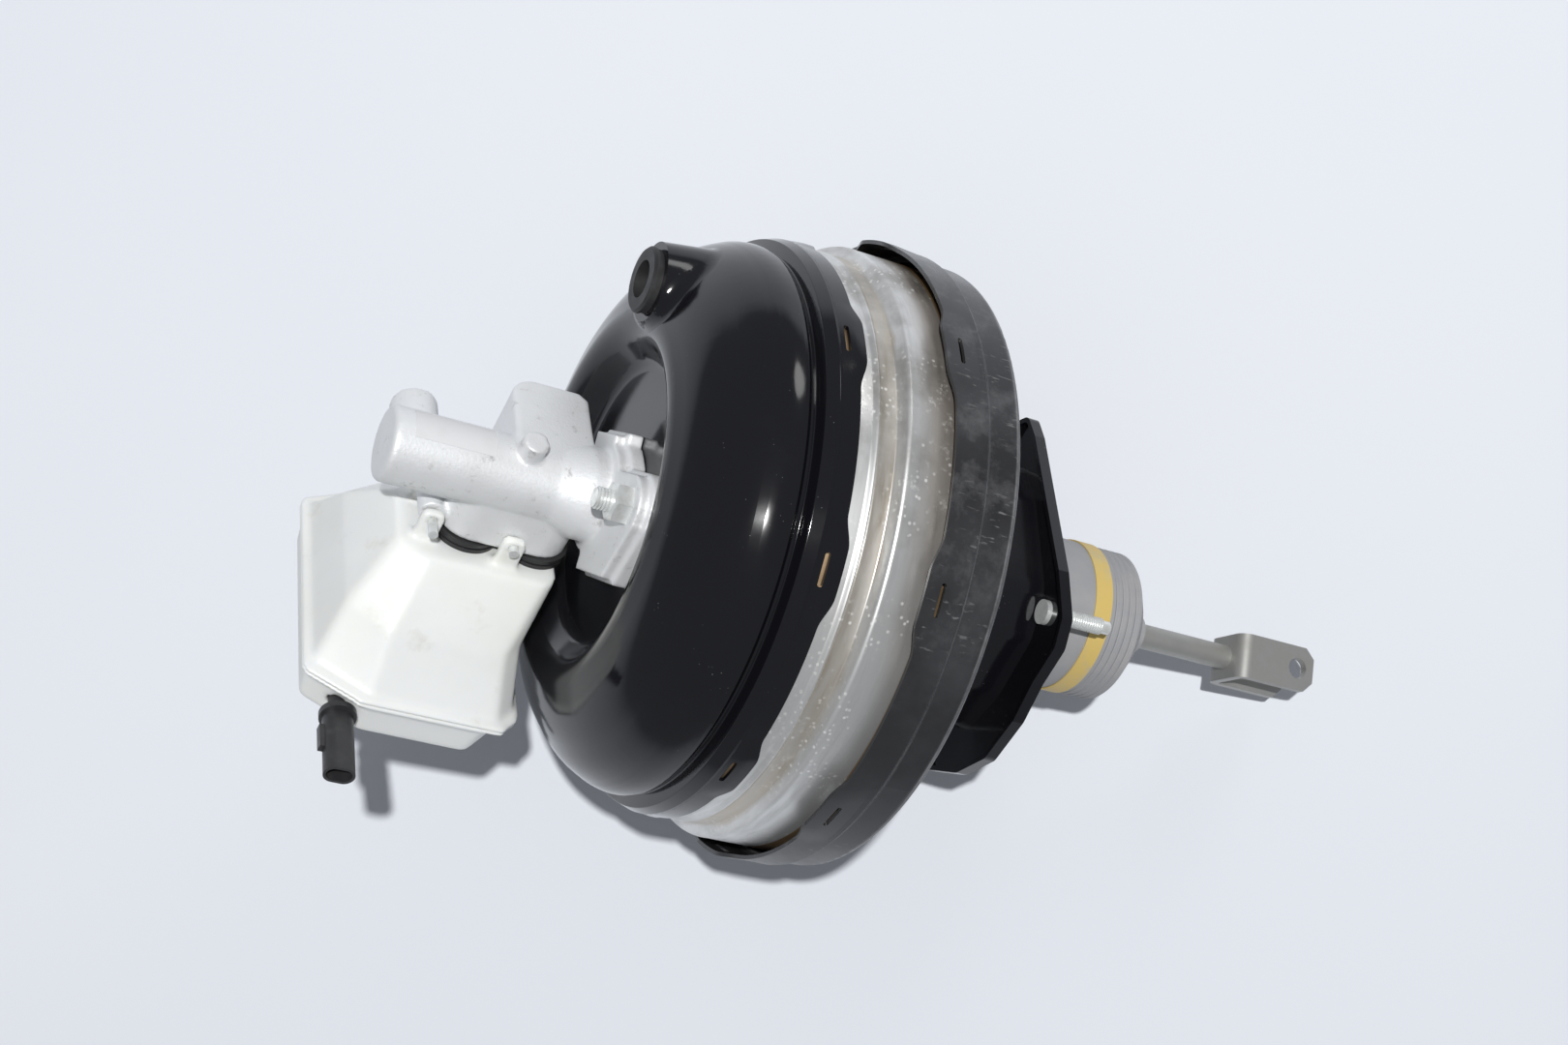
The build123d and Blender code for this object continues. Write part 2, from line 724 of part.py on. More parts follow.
def lower_form(inset):
    """The lower half's outside, or with an inset its inside."""
    waist_shares = (0.65, 0.58)
    floor_cut_shares = ((1, 0.7), (0.4, 0.4))
    waist_cut_shares = ((1.4, 1), (0.6, 0.6))
    floor_front = floor_x - floor_front_ahead
    floor_rear = floor_x - floor_rear_ahead
    waist_front = floor_front + (seam_front - floor_front) * waist_shares[0]
    waist_rear = floor_rear - waist_rise / 3
    waist_half = floor_half_width + (seam_half_width - floor_half_width) * waist_shares[1]
    levels = [
        (reservoir_floor_z + inset, floor_front, floor_rear, floor_half_width, floor_cut_shares),
        (waist_z, waist_front, waist_rear, waist_half, waist_cut_shares),
        (seam_z, seam_front, seam_rear, seam_half_width, seam_cut_shares),
    ]
    sections = []
    for z, front, rear, half, shares in levels:
        sections.append(Pos(0, 0, z) * plan_outline(front, rear, half, shares, inset))
    return loft(sections[:2], ruled=True) + loft(sections[1:], ruled=True)


def seam_lip_plate():
    """The flat lip where the two halves are welded, from the seam up."""
    outline = plan_outline(seam_front, seam_rear, seam_half_width, seam_cut_shares, -seam_lip)
    lip = extrude(Pos(0, 0, seam_z) * outline, seam_thickness)
    return fillet(lip.edges().filter_by(Axis.Z), corner_round)


def reservoir_lower():
    outer = lower_form(0)
    slanted = [edge for edge in outer.edges() if abs(edge.center().Z - waist_z) > edge_round
               and abs((edge @ 1 - edge @ 0).Z) > waist_rise / 2]
    outer = fillet(slanted, corner_round)
    body = outer + Pos(0, 0, -seam_thickness) * seam_lip_plate()
    post_top = float_low + float_height + float_travel + edge_round
    post = upright(float_post_radius, sensor_x, reservoir_floor_z, post_top, float_aside)
    post += upright(float_post_foot_radius, sensor_x, reservoir_floor_z, float_low - seat_gap, float_aside)
    body -= lower_form(reservoir_wall)
    body += post & (outer + upper_form(0))
    for x in (pin_front_x, pin_rear_x):
        start = pin_eye_half + seat_gap * 2 if x == pin_front_x else port_pad_radius + seat_gap * 2
        for side in (-1, 1):
            middle = side * (start + lug_thickness / 2)
            lug = Box(lug_width, lug_thickness, lug_drop + edge_round)
            lug = fillet(lug.edges().filter_by(Axis.Y).group_by(Axis.Z)[0], lug_width / 3)
            body += Pos(x, middle, reservoir_floor_z - lug_drop / 2) * lug
        body -= crosswise(pin_radius + slide_gap, x, pin_z, -pin_length / 2 - overrun, pin_length / 2 + overrun)
    for x in (front_port_x, rear_port_x):
        low = port_pad_height - port_pocket_depth + edge_round * 2
        body += upright(outlet_tube_radius, x, low, reservoir_floor_z + edge_round)
        tube_top = reservoir_floor_z + reservoir_wall * 2
        body -= upright(outlet_tube_radius - outlet_tube_wall, x, low - overrun, tube_top)
    return body


def upper_form(inset):
    """The upper half's outside, or with an inset its inside."""
    low_cut_shares = ((1.9, 1), (0.9, 1))
    high_cut_shares = ((1.9, 1), (1, 1.2))
    low = plan_outline(seam_front, seam_rear, seam_half_width, low_cut_shares, inset)
    high = plan_outline(seam_front + upper_slope, seam_rear - upper_slope, seam_half_width - upper_slope,
                        high_cut_shares, inset)
    return loft([Pos(0, 0, seam_z) * low, Pos(0, 0, roof_z - inset) * high], ruled=True)


def reservoir_upper():
    outer = upper_form(0)
    slanted = [edge for edge in outer.edges() if abs((edge @ 1 - edge @ 0).Z) > upper_height / 2]
    outer = fillet(slanted, corner_round)
    outer = fillet(outer.faces().sort_by(Axis.Z)[-1].edges(), edge_round * 2)
    body = outer + seam_lip_plate() - upper_form(reservoir_wall)
    body += upright(filler_radius, filler_x, roof_z - edge_round, roof_z + filler_height)
    mouth = upright(filler_radius - filler_wall, filler_x, roof_z - reservoir_wall - overrun,
                    roof_z + filler_height + overrun)
    body -= mouth
    wall_y = seam_half_width - upper_slope
    well = sensor_stick_radius + seat_gap + sensor_well_wall
    inner_end = wall_y - sensor_stick_reach - seat_gap
    tube = crosswise(well, sensor_x, sensor_z, inner_end - sensor_well_wall, wall_y)
    body += tube & upper_form(0)
    body -= crosswise(sensor_stick_radius + seat_gap, sensor_x, sensor_z, inner_end, wall_y + overrun)
    return body


def level_sensor():
    latch_shares = (0.35, 0.45, 0.4)
    wall_y = seam_half_width - upper_slope + seat_gap
    stick = crosswise(sensor_stick_radius, sensor_x, sensor_z, wall_y - sensor_stick_reach, wall_y + overrun)
    face = Plane((sensor_x, wall_y, sensor_z), x_dir=(1, 0, 0), z_dir=(0, 1, 0))
    collar = extrude(face * Circle(sensor_socket_width / 2 + edge_round), sensor_collar)
    outside = SlotOverall(sensor_socket_width, sensor_socket_height)
    walls = sensor_socket_wall * 2
    inside = SlotOverall(sensor_socket_width - walls, sensor_socket_height - walls)
    socket = extrude(face * outside, sensor_socket_length)
    end = face.offset(sensor_socket_length)
    socket -= extrude(end * inside, -sensor_socket_depth)
    for side in (-1, 1):
        pin = Pos(side * sensor_socket_width / 5, 0) * Rectangle(edge_round, edge_round / 2)
        socket += extrude(end.offset(-sensor_socket_depth - edge_round) * pin, sensor_socket_depth / 2)
    length_share, place_share, height_share = latch_shares
    latch = Box(edge_round * 2, sensor_socket_length * length_share, sensor_socket_height * height_share)
    latch_x = sensor_x - sensor_socket_width / 2 - edge_round / 2
    latch = Pos(latch_x, wall_y + sensor_socket_length * place_share, sensor_z) * latch
    return stick + collar + socket + latch


def level_float():
    body = upright(float_radius, sensor_x, float_low, float_low + float_height, float_aside)
    top = float_low + float_height
    body -= upright(float_post_radius + seat_gap, sensor_x, float_low - overrun, top + overrun, float_aside)
    return fillet(body.edges().group_by(Axis.Z)[-1], edge_round)


def filler_strainer():
    top = roof_z + filler_height
    outer = filler_radius - filler_wall - seat_gap
    basket = upright(outer, filler_x, top - strainer_depth, top + edge_round)
    basket += upright(filler_radius - edge_round / 2, filler_x, top, top + edge_round)
    basket -= upright(outer - strainer_wall, filler_x, top - strainer_depth + strainer_wall, top + overrun)
    window = Pos(0, outer, top - strainer_depth / 2) * Box(outer / 2, outer, strainer_depth / 2)
    turns = [360 / 8 * step for step in range(8)]
    return basket - [Pos(filler_x, 0, 0) * Rot(0, 0, turn) * window for turn in turns]


def cap_gasket():
    low = roof_z + filler_height + edge_round
    return upright(filler_radius, filler_x, low, low + cap_seal) - upright(
        filler_radius - filler_wall * 2, filler_x, low - overrun, low + cap_seal + overrun)


def reservoir_cap():
    under = roof_z + filler_height + edge_round + cap_seal
    top = under + cap_wall
    low = top - cap_height
    cap = upright(cap_radius, filler_x, low, top)
    grip = Pos(filler_x + cap_radius, 0, low) * extrude(Circle(edge_round), cap_height)
    turns = [360 / cap_grip_count * step for step in range(cap_grip_count)]
    middle = Pos(filler_x, 0, 0)
    cap += [middle * Rot(0, 0, turn) * middle.inverse() * grip for turn in turns]
    cap = fillet(cap.edges().group_by(Axis.Z)[-1], edge_round / 2)
    cap -= upright(filler_radius + seat_gap, filler_x, low - overrun, under)
    cap += Pos(filler_x, 0, top) * Box(cap_radius * 1.4, cap_wall * 2, cap_wall * 2)
    return cap


def divider_plate():
    rim_radius = front_lap_radius - sheet * 2 - seat_gap * 2
    hub = valve_radius + seal_section
    corners = [(divider_rim_x, rim_radius), (divider_rim_x, rim_radius - bead),
               (divider_x - divider_sheet * 2, rear_plate_radius - bead), (divider_x, front_plate_radius - bead),
               (divider_x, hub), (divider_x + seal_width, hub)]
    return pressed(corners, [divider_sheet, bead, bead, divider_sheet], divider_sheet, Side.LEFT)


def divider_seal():
    start = divider_x + divider_sheet / 2
    outer = valve_radius + seal_section - slide_gap
    return ring(outer, valve_radius + slide_gap, start, start + seal_width - seat_gap)


def servo_plate(start, hub, rim):
    """A pressed plate with its rim turned forwards."""
    corners = [(start, hub), (start, rim - bead * 2), (start - bead * 2, rim)]
    return pressed(corners, [bead], plate_sheet, Side.RIGHT)


def servo_diaphragm(rest, hub, rim, fold_x, bead_start, bead_width, bead_radius):
    """A rubber skin behind a plate, with a rolling fold and a bead held at the casing."""
    fold_share = 0.8
    rise = (plate_sheet + seat_gap) * tan(radians(plate_rim_turn / 2))
    corners = [(rest, hub), (rest, rim - bead * 2 + rise), (rest - bead * 2 - rubber, rim + rise + rubber),
               (fold_x, rim + bead), (fold_x + bead * fold_share, bead_radius - bead),
               (bead_start + rubber / 2, bead_radius)]
    skin = pressed(corners, [bead, rubber, rubber, rubber], rubber, Side.RIGHT)
    return skin + ring(bead_radius + bead / 2, bead_radius - bead / 2, bead_start, bead_start + bead_width)


def front_plate():
    return servo_plate(plate_x, valve_radius - valve_shoulder + slide_gap, front_plate_radius)


def rear_plate():
    return servo_plate(rear_plate_x, valve_radius + slide_gap, rear_plate_radius)


def front_diaphragm():
    rest = plate_x + plate_sheet + seat_gap
    bead_radius = front_lap_radius - sheet * 2 - seat_gap * 3 - bead / 2
    hub = valve_radius - valve_shoulder + slide_gap
    bead_width = divider_rim_x - bead_x - seat_gap
    return servo_diaphragm(rest, hub, front_plate_radius, rest - front_fold, bead_x, bead_width, bead_radius)


def rear_diaphragm():
    rest = rear_plate_x + plate_sheet + seat_gap
    bead_radius = rear_body_radius - sheet - seat_gap * 4 - bead / 2
    hub = valve_radius + slide_gap
    bead_start = rear_bead_x + seat_gap
    return servo_diaphragm(rest, hub, rear_plate_radius, rest - rear_fold, bead_start, rear_bead_width, bead_radius)


def valve_body():
    recess_end = valve_front_x + output_head + reaction_disc_thickness
    cup_front = ball_x - ball_cup_length + ball_radius
    outside = valve_radius
    body = turned(
        (valve_front_x, 0), (valve_front_x, outside - valve_shoulder),
        (valve_front_x + valve_shoulder, outside - valve_shoulder), (valve_front_x + valve_shoulder, outside),
        (collar_x, outside), (collar_x, outside + valve_collar_step),
        (collar_x + valve_collar, outside + valve_collar_step),
        (collar_x + valve_collar, outside), (valve_rear_reach, outside), (valve_rear_reach, 0))
    body -= bar(reaction_radius + slide_gap, valve_front_x - overrun, recess_end)
    body -= bar(plunger_radius + slide_gap, recess_end - overrun, 0)
    body -= bar(seat_bore, cup_front - plunger_lost_motion - seat_gap * 2, 0)
    body -= bar(valve_bore_radius, -poppet_ahead, valve_rear_reach + overrun)
    slot = Pos(-key_ahead + key_thickness / 2, 0, seat_gap) * Box(
        key_thickness + slide_gap * 2, key_width + slide_gap * 2, outside * 2 + overrun)
    keep = bar(outside - valve_shoulder / 2, -key_ahead - overrun, -key_ahead + key_thickness + overrun)
    return body - (slot & keep)


def valve_key():
    long = valve_radius - valve_shoulder
    plate = Pos(-key_ahead + key_thickness / 2, 0, 0) * Box(key_thickness, key_width, long * 2 - overrun)
    gap = (plunger_groove_radius + seat_gap) * 2
    return plate - Pos(-key_ahead + key_thickness / 2, 0, -long / 2) * Box(key_thickness * 2, gap, long + gap)


def reaction_disc():
    start = valve_front_x + output_head
    return bar(reaction_radius, start, start + reaction_disc_thickness)


def output_rod():
    tip = piston_rear_x - output_cup_depth + seat_gap
    rod = bar(output_rod_radius, tip, valve_front_x) + bar(reaction_radius, valve_front_x, valve_front_x + output_head)
    return fillet(rod.edges().sort_by(Axis.X)[0], output_rod_radius / 2)


def valve_plunger():
    front = valve_front_x + output_head + reaction_disc_thickness + plunger_lost_motion + seat_gap
    cup_front = ball_x - ball_cup_length + ball_radius
    cup_end = cup_front + ball_cup_length
    body = bar(plunger_radius, front, cup_front) + bar(ball_cup_radius, cup_front, cup_end)
    body -= Pos(ball_x, 0, 0) * Sphere(ball_radius + slide_gap)
    body -= turned((ball_x, 0), (ball_x, rod_neck_radius + edge_round / 2),
                   (cup_end + overrun, rod_neck_radius + edge_round * 2), (cup_end + overrun, 0))
    groove_start = -key_ahead - seat_gap
    groove_end = -key_ahead + key_thickness + plunger_lost_motion + seat_gap
    return body - ring(plunger_radius + overrun, plunger_groove_radius, groove_start, groove_end)


def poppet_valve():
    start = -poppet_ahead
    return turned(
        (start, poppet_bore), (start, valve_bore_radius - slide_gap),
        (start + poppet_thickness, valve_bore_radius - slide_gap),
        (start + poppet_thickness, valve_bore_radius - poppet_thickness),
        (start + poppet_thickness * 2, valve_bore_radius - poppet_thickness),
        (start + poppet_thickness * 2, poppet_bore + poppet_thickness / 2),
        (start + poppet_thickness, poppet_bore))


def valve_retainer():
    start = -retainer_ahead
    return ring(valve_bore_radius - slide_gap, poppet_bore + overrun, start, start + retainer_thickness)


def poppet_spring():
    start = -poppet_ahead + poppet_thickness
    return coil(valve_bore_radius - small_spring_wire, small_spring_wire, start, -retainer_ahead, small_spring_turns)


def rod_spring():
    start = -retainer_ahead + retainer_thickness
    radius = rod_collar_radius + small_spring_wire * 1.2
    return coil(radius, small_spring_wire, start, rod_collar_behind, small_spring_turns)


def main_spring():
    start = floor_x + sheet + reinforcement
    return coil(spring_radius, spring_wire, start, plate_x, spring_turns)


def air_filter():
    end = valve_rear_reach - overrun
    return ring(valve_bore_radius - slide_gap, filter_bore, end - filter_thickness, end)


def piston_ring(outer, inner, start, width):
    return ring(outer, inner + slide_gap, start + slide_gap, start + width - slide_gap)


def primary_piston():
    piston = bar(bore_radius - slide_gap, primary_front_x, piston_rear_x)
    piston -= bar(primary_pocket_radius, primary_front_x - overrun, primary_front_x + primary_pocket_depth)
    piston -= bar(primary_pocket_radius, piston_rear_x - output_cup_depth, piston_rear_x + overrun)
    groove = primary_front_x + edge_round * 2
    return piston - ring(bore_radius + overrun, bore_radius - cup_depth, groove, groove + cup_width)


def secondary_piston():
    piston = bar(bore_radius - slide_gap, secondary_front_x, secondary_rear_x)
    piston -= bar(primary_pocket_radius, secondary_front_x - overrun, secondary_front_x + secondary_pocket_depth)
    groove = secondary_front_x + edge_round * 2
    return piston - ring(bore_radius + overrun, bore_radius - cup_depth, groove, groove + cup_width)


def primary_cup():
    return piston_ring(bore_radius - slide_gap, bore_radius - cup_depth, primary_front_x + edge_round * 2, cup_width)


def secondary_cup():
    return piston_ring(bore_radius - slide_gap, bore_radius - cup_depth, secondary_front_x + edge_round * 2, cup_width)


def primary_spring():
    return coil(primary_pocket_radius - piston_spring_wire, piston_spring_wire, secondary_rear_x,
                primary_front_x + primary_pocket_depth, small_spring_turns)


def secondary_spring():
    return coil(primary_pocket_radius - piston_spring_wire, piston_spring_wire, barrel_end_x + bore_end_wall,
                secondary_front_x + secondary_pocket_depth, small_spring_turns)


def piston_guide():
    start = spigot_x - guide_length
    return ring(guide_radius - slide_gap, bore_radius + slide_gap, start, start + guide_length - overrun)


def circlip():
    start = spigot_x - overrun + slide_gap
    clip = ring(guide_radius - slide_gap, bore_radius + edge_round / 2, start, start + edge_round)
    return clip - Pos(start, 0, -guide_radius) * Box(overrun * 2, guide_radius / 2, guide_radius)


def pedal_rod():
    base = clevis_back_x
    rod = bar(rod_radius, ball_x + ball_radius * 2, base)
    rod += bar(rod_neck_radius, ball_x, ball_x + ball_radius * 2 + edge_round)
    rod += Pos(ball_x, 0, 0) * Sphere(ball_radius)
    rod += bar(rod_collar_radius + rod_collar_step, rod_collar_behind, rod_collar_behind + edge_round * 2)
    rod += bar(rod_tenon_radius, base - edge_round, base + clevis_plate + slide_gap * 2)
    head = base + clevis_plate + slide_gap
    return rod + fillet(bar(rod_radius, head, head + overrun).edges().sort_by(Axis.X)[-1], edge_round / 2)


def clevis():
    length = clevis_end_x - clevis_back_x
    face = Plane((clevis_back_x, 0, -clevis_height / 2), x_dir=(1, 0, 0), z_dir=(0, 0, 1))
    outer = Pos(length / 2, 0) * Rectangle(length, clevis_width)
    outer = fillet(outer.vertices().group_by(Axis.X)[0], clevis_bend)
    inner = Pos(length / 2 + clevis_plate, 0) * Rectangle(length, clevis_width - clevis_plate * 2)
    inner = fillet(inner.vertices().group_by(Axis.X)[0], clevis_bend - clevis_plate)
    strap = extrude(face * (outer - inner), clevis_height)
    corners = strap.edges().filter_by(Axis.Y).group_by(Axis.X)[-1]
    strap = chamfer(corners, clevis_chamfer)
    strap -= crosswise(clevis_hole_radius, clevis_hole_reach, 0, -clevis_width, clevis_width)
    strap -= bar(rod_tenon_radius + slide_gap, clevis_back_x - overrun, clevis_back_x + clevis_plate + overrun)
    return at_angle(clevis_roll, strap)


pieces = [
    front_shell, reinforcement_plate, centre_housing, rear_shell, mounting_bracket, bulkhead_studs, cylinder_studs,
    cylinder_nuts, vacuum_grommet, neck_seal, divider_plate, divider_seal, dust_boot, boot_band, master_cylinder_body,
    cylinder_seal, piston_guide, circlip, primary_piston, primary_cup, primary_spring, secondary_piston,
    secondary_cup, secondary_spring, feed_grommets, roll_pins, reservoir_lower, reservoir_upper, filler_strainer,
    cap_gasket, reservoir_cap, level_sensor, level_float, front_plate, front_diaphragm, rear_plate, rear_diaphragm,
    main_spring, valve_body, valve_key, reaction_disc, output_rod, valve_plunger, poppet_valve, poppet_spring,
    valve_retainer, rod_spring, air_filter, pedal_rod, clevis,
]
for make in pieces:
    made = make()
    export_step(Compound(made) if isinstance(made, list) else made, "parts/" + make.__name__ + ".step")
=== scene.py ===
import bpy
import bmesh
import json
from math import atan2, cos, degrees, pi, radians, sin
from mathutils import Euler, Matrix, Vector

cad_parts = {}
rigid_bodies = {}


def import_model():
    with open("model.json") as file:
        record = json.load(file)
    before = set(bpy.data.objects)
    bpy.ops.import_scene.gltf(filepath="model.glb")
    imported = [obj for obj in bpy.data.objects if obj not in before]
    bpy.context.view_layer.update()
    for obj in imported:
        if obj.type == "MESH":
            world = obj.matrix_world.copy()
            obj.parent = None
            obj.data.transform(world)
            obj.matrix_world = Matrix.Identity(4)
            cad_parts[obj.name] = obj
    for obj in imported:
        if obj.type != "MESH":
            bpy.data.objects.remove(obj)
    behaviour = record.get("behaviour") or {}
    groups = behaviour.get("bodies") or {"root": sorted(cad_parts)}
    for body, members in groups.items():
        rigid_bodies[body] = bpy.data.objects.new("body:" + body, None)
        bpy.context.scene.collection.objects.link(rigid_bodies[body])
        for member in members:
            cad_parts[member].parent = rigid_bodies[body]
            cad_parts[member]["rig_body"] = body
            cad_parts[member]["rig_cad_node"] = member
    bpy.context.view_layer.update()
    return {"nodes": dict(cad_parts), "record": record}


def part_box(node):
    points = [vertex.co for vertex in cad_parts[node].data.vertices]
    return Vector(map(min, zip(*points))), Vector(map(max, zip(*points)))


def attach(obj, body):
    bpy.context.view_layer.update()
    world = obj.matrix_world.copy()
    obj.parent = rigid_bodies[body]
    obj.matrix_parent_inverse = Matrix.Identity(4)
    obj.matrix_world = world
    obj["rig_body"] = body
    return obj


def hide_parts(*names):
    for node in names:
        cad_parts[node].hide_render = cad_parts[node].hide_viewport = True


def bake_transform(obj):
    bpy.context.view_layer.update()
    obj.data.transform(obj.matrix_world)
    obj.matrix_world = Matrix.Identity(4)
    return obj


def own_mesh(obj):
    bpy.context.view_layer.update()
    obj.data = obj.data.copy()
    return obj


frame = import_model()
nodes = frame["nodes"]
weld, nearZero = 1e-6, 1e-5
smoothAngle = {"bar": 25, "sheet": 30, "plated": 35}
print("frame loaded:", len(nodes), "nodes")


# Finishes: every one is a small node tree on Object coordinates.

def newFinish(name, colour, roughness, metallic=0.0):
    material = bpy.data.materials.new(name)
    material.use_nodes = True
    tree = material.node_tree
    shader = tree.nodes["Principled BSDF"]
    shader.inputs["Base Color"].default_value = (*colour, 1)
    shader.inputs["Roughness"].default_value = roughness
    shader.inputs["Metallic"].default_value = metallic
    place = tree.nodes.new("ShaderNodeTexCoord")
    return {"material": material, "tree": tree, "shader": shader, "place": place.outputs["Object"],
            "colour": None, "start": (*colour, 1), "height": None}


def stretched(finish, scale, centre=(0, 0, 0), turn=(0, 0, 0)):
    node = finish["tree"].nodes.new("ShaderNodeMapping")
    node.vector_type = "POINT"
    node.inputs["Scale"].default_value = scale
    node.inputs["Location"].default_value = centre
    node.inputs["Rotation"].default_value = turn
    finish["tree"].links.new(finish["place"], node.inputs["Vector"])
    return node.outputs["Vector"]


def cloudy(finish, scale, detail=4, rough=0.55, vector=None, distortion=0.0):
    node = finish["tree"].nodes.new("ShaderNodeTexNoise")
    node.inputs["Scale"].default_value = scale
    node.inputs["Detail"].default_value = detail
    node.inputs["Roughness"].default_value = rough
    node.inputs["Distortion"].default_value = distortion
    finish["tree"].links.new(vector or finish["place"], node.inputs["Vector"])
    return node.outputs["Fac"]


def dotted(finish, scale, vector=None):
    node = finish["tree"].nodes.new("ShaderNodeTexVoronoi")
    node.inputs["Scale"].default_value = scale
    finish["tree"].links.new(vector or finish["place"], node.inputs["Vector"])
    return node.outputs["Distance"]


def between(finish, value, low, high, outLow=0.0, outHigh=1.0):
    node = finish["tree"].nodes.new("ShaderNodeMapRange")
    node.inputs["From Min"].default_value = low
    node.inputs["From Max"].default_value = high
    node.inputs["To Min"].default_value = outLow
    node.inputs["To Max"].default_value = outHigh
    finish["tree"].links.new(value, node.inputs["Value"])
    return node.outputs["Result"]


def sums(finish, kind, first, second):
    node = finish["tree"].nodes.new("ShaderNodeMath")
    node.operation = kind
    for socket, value in zip(node.inputs, (first, second)):
        if isinstance(value, (int, float)):
            socket.default_value = value
        else:
            finish["tree"].links.new(value, socket)
    return node.outputs["Value"]


def along(finish, axis):
    node = finish["tree"].nodes.new("ShaderNodeSeparateXYZ")
    finish["tree"].links.new(finish["place"], node.inputs["Vector"])
    return node.outputs[axis]


# the places of the sockets on a Mix node that mixes colours
mixSocket = {"share": 0, "under": 6, "over": 7, "mixed": 2}


def tinted(finish, share, colour):
    # lays a colour over the finish where share is 1
    node = finish["tree"].nodes.new("ShaderNodeMix")
    node.data_type = "RGBA"
    node.clamp_factor = True
    colourIn, colourOver = node.inputs[mixSocket["under"]], node.inputs[mixSocket["over"]]
    if finish["colour"] is None:
        colourIn.default_value = finish["start"]
    else:
        finish["tree"].links.new(finish["colour"], colourIn)
    colourOver.default_value = (*colour, 1)
    finish["tree"].links.new(share, node.inputs[mixSocket["share"]])
    finish["colour"] = node.outputs[mixSocket["mixed"]]
    finish["tree"].links.new(finish["colour"], finish["shader"].inputs["Base Color"])


def uneven(finish, socket, value, low, high, outLow, outHigh):
    ranged = between(finish, value, low, high, outLow, outHigh)
    finish["tree"].links.new(ranged, finish["shader"].inputs[socket])


def raised(finish, value, distance, strength=1.0):
    node = finish["tree"].nodes.new("ShaderNodeBump")
    node.inputs["Strength"].default_value = strength
    node.inputs["Distance"].default_value = distance
    finish["tree"].links.new(value, node.inputs["Height"])
    if finish["height"] is not None:
        finish["tree"].links.new(finish["height"], node.inputs["Normal"])
    finish["height"] = node.outputs["Normal"]
    finish["tree"].links.new(finish["height"], finish["shader"].inputs["Normal"])


scuffs = {
    "detail": 3, "rough": 0.5, "stretch": (1, 6, 1), "centre": (0, 0, 0), "turn": (0.6, 0.3, 0.2),
    "patchNoise": (11, 4, 0.6), "patchRange": (0.52, 0.66),
}


def scuffed(finish, scale, low, high, colour):
    # short thin scratches and dust, in patches
    spec = scuffs
    vector = stretched(finish, spec["stretch"], spec["centre"], spec["turn"])
    thin = cloudy(finish, scale, spec["detail"], spec["rough"], vector)
    patches = cloudy(finish, *spec["patchNoise"])
    inPatches = between(finish, patches, *spec["patchRange"])
    tinted(finish, sums(finish, "MULTIPLY", between(finish, thin, low, high), inPatches), colour)


glossLook = {
    "base": (0.006, 0.006, 0.008), "roughness": 0.1, "smearNoise": (9, 5, 0.6),
    "smearRoughness": (0.35, 0.7, 0.06, 0.2), "haze": (0.02, 0.02, 0.023),
    "hazeRange": (0.5, 0.8, 0, 0.3), "dust": (0.2, 0.2, 0.2), "dustScale": 420,
    "dustRange": (0.12, 0.05), "grainNoise": (60, 2), "grainRange": (0.6, 0.72), "waves": (220, 3),
    "relief": (0.00003, 0.2),
}


def glossPaint():
    # the front shell and the mounting bracket: deep gloss black with fine dust
    look = glossLook
    finish = newFinish("glossPaint", look["base"], look["roughness"])
    smear = cloudy(finish, *look["smearNoise"])
    uneven(finish, "Roughness", smear, *look["smearRoughness"])
    tinted(finish, between(finish, smear, *look["hazeRange"]), look["haze"])
    dust = between(finish, dotted(finish, look["dustScale"]), *look["dustRange"])
    grain = between(finish, cloudy(finish, *look["grainNoise"]), *look["grainRange"])
    tinted(finish, sums(finish, "MULTIPLY", dust, grain), look["dust"])
    raised(finish, cloudy(finish, *look["waves"]), *look["relief"])
    return finish["material"]


satinLook = {
    "base": (0.022, 0.022, 0.024), "roughness": 0.32, "smearNoise": (14, 5, 0.65),
    "smearRoughness": (0.3, 0.7, 0.24, 0.46), "haze": (0.06, 0.062, 0.066),
    "hazeRange": (0.46, 0.75, 0, 0.55), "dustAndHighlightNoise": (48, 6, 0.7), "dust": (0.13, 0.13, 0.135),
    "dustRange": (0.5, 0.68, 0, 0.5), "dustHeight": (-0.02, -0.13), "scratchScale": 150,
    "scratchRange": (0.62, 0.7), "scratch": (0.22, 0.22, 0.22),
    # these two lines also hold the painted highlight at the pressed corners: its rings along X, their
    # fade, its patchiness and its bright tint
    "highlightEdges": ((-0.0932, -0.0922), (-0.0786, -0.0776)), "highlightFade": 0.0004,
    "highlightTint": (0.3, 0.3, 0.3), "highlightRange": (0.35, 0.6, 0.1, 0.6), "waves": (260, 3),
    "relief": (0.00004, 0.3),
}


def satinPaint():
    # the rear shell: satin black, dusty, with painted highlights as thin bright rings at the pressed
    # corners
    look = satinLook
    finish = newFinish("satinPaint", look["base"], look["roughness"])
    smear = cloudy(finish, *look["smearNoise"])
    uneven(finish, "Roughness", smear, *look["smearRoughness"])
    tinted(finish, between(finish, smear, *look["hazeRange"]), look["haze"])
    dustAndHighlight = cloudy(finish, *look["dustAndHighlightNoise"])
    high = between(finish, along(finish, "Z"), *look["dustHeight"])
    dust = sums(finish, "MULTIPLY", between(finish, dustAndHighlight, *look["dustRange"]), high)
    tinted(finish, dust, look["dust"])
    scuffed(finish, look["scratchScale"], *look["scratchRange"], look["scratch"])
    place = along(finish, "X")
    # painted highlights: a bright tint in thin rings at the pressed corners, broken into patches by the
    # same noise as the dust
    for low, high in look["highlightEdges"]:
        centre = (low + high) / 2
        rising = between(finish, place, low - look["highlightFade"], centre)
        falling = between(finish, place, high + look["highlightFade"], centre)
        edge = sums(finish, "MULTIPLY", rising, falling)
        wornAndHighlight = between(finish, dustAndHighlight, *look["highlightRange"])
        tinted(finish, sums(finish, "MULTIPLY", edge, wornAndHighlight), look["highlightTint"])
    raised(finish, cloudy(finish, *look["waves"]), *look["relief"])
    return finish["material"]


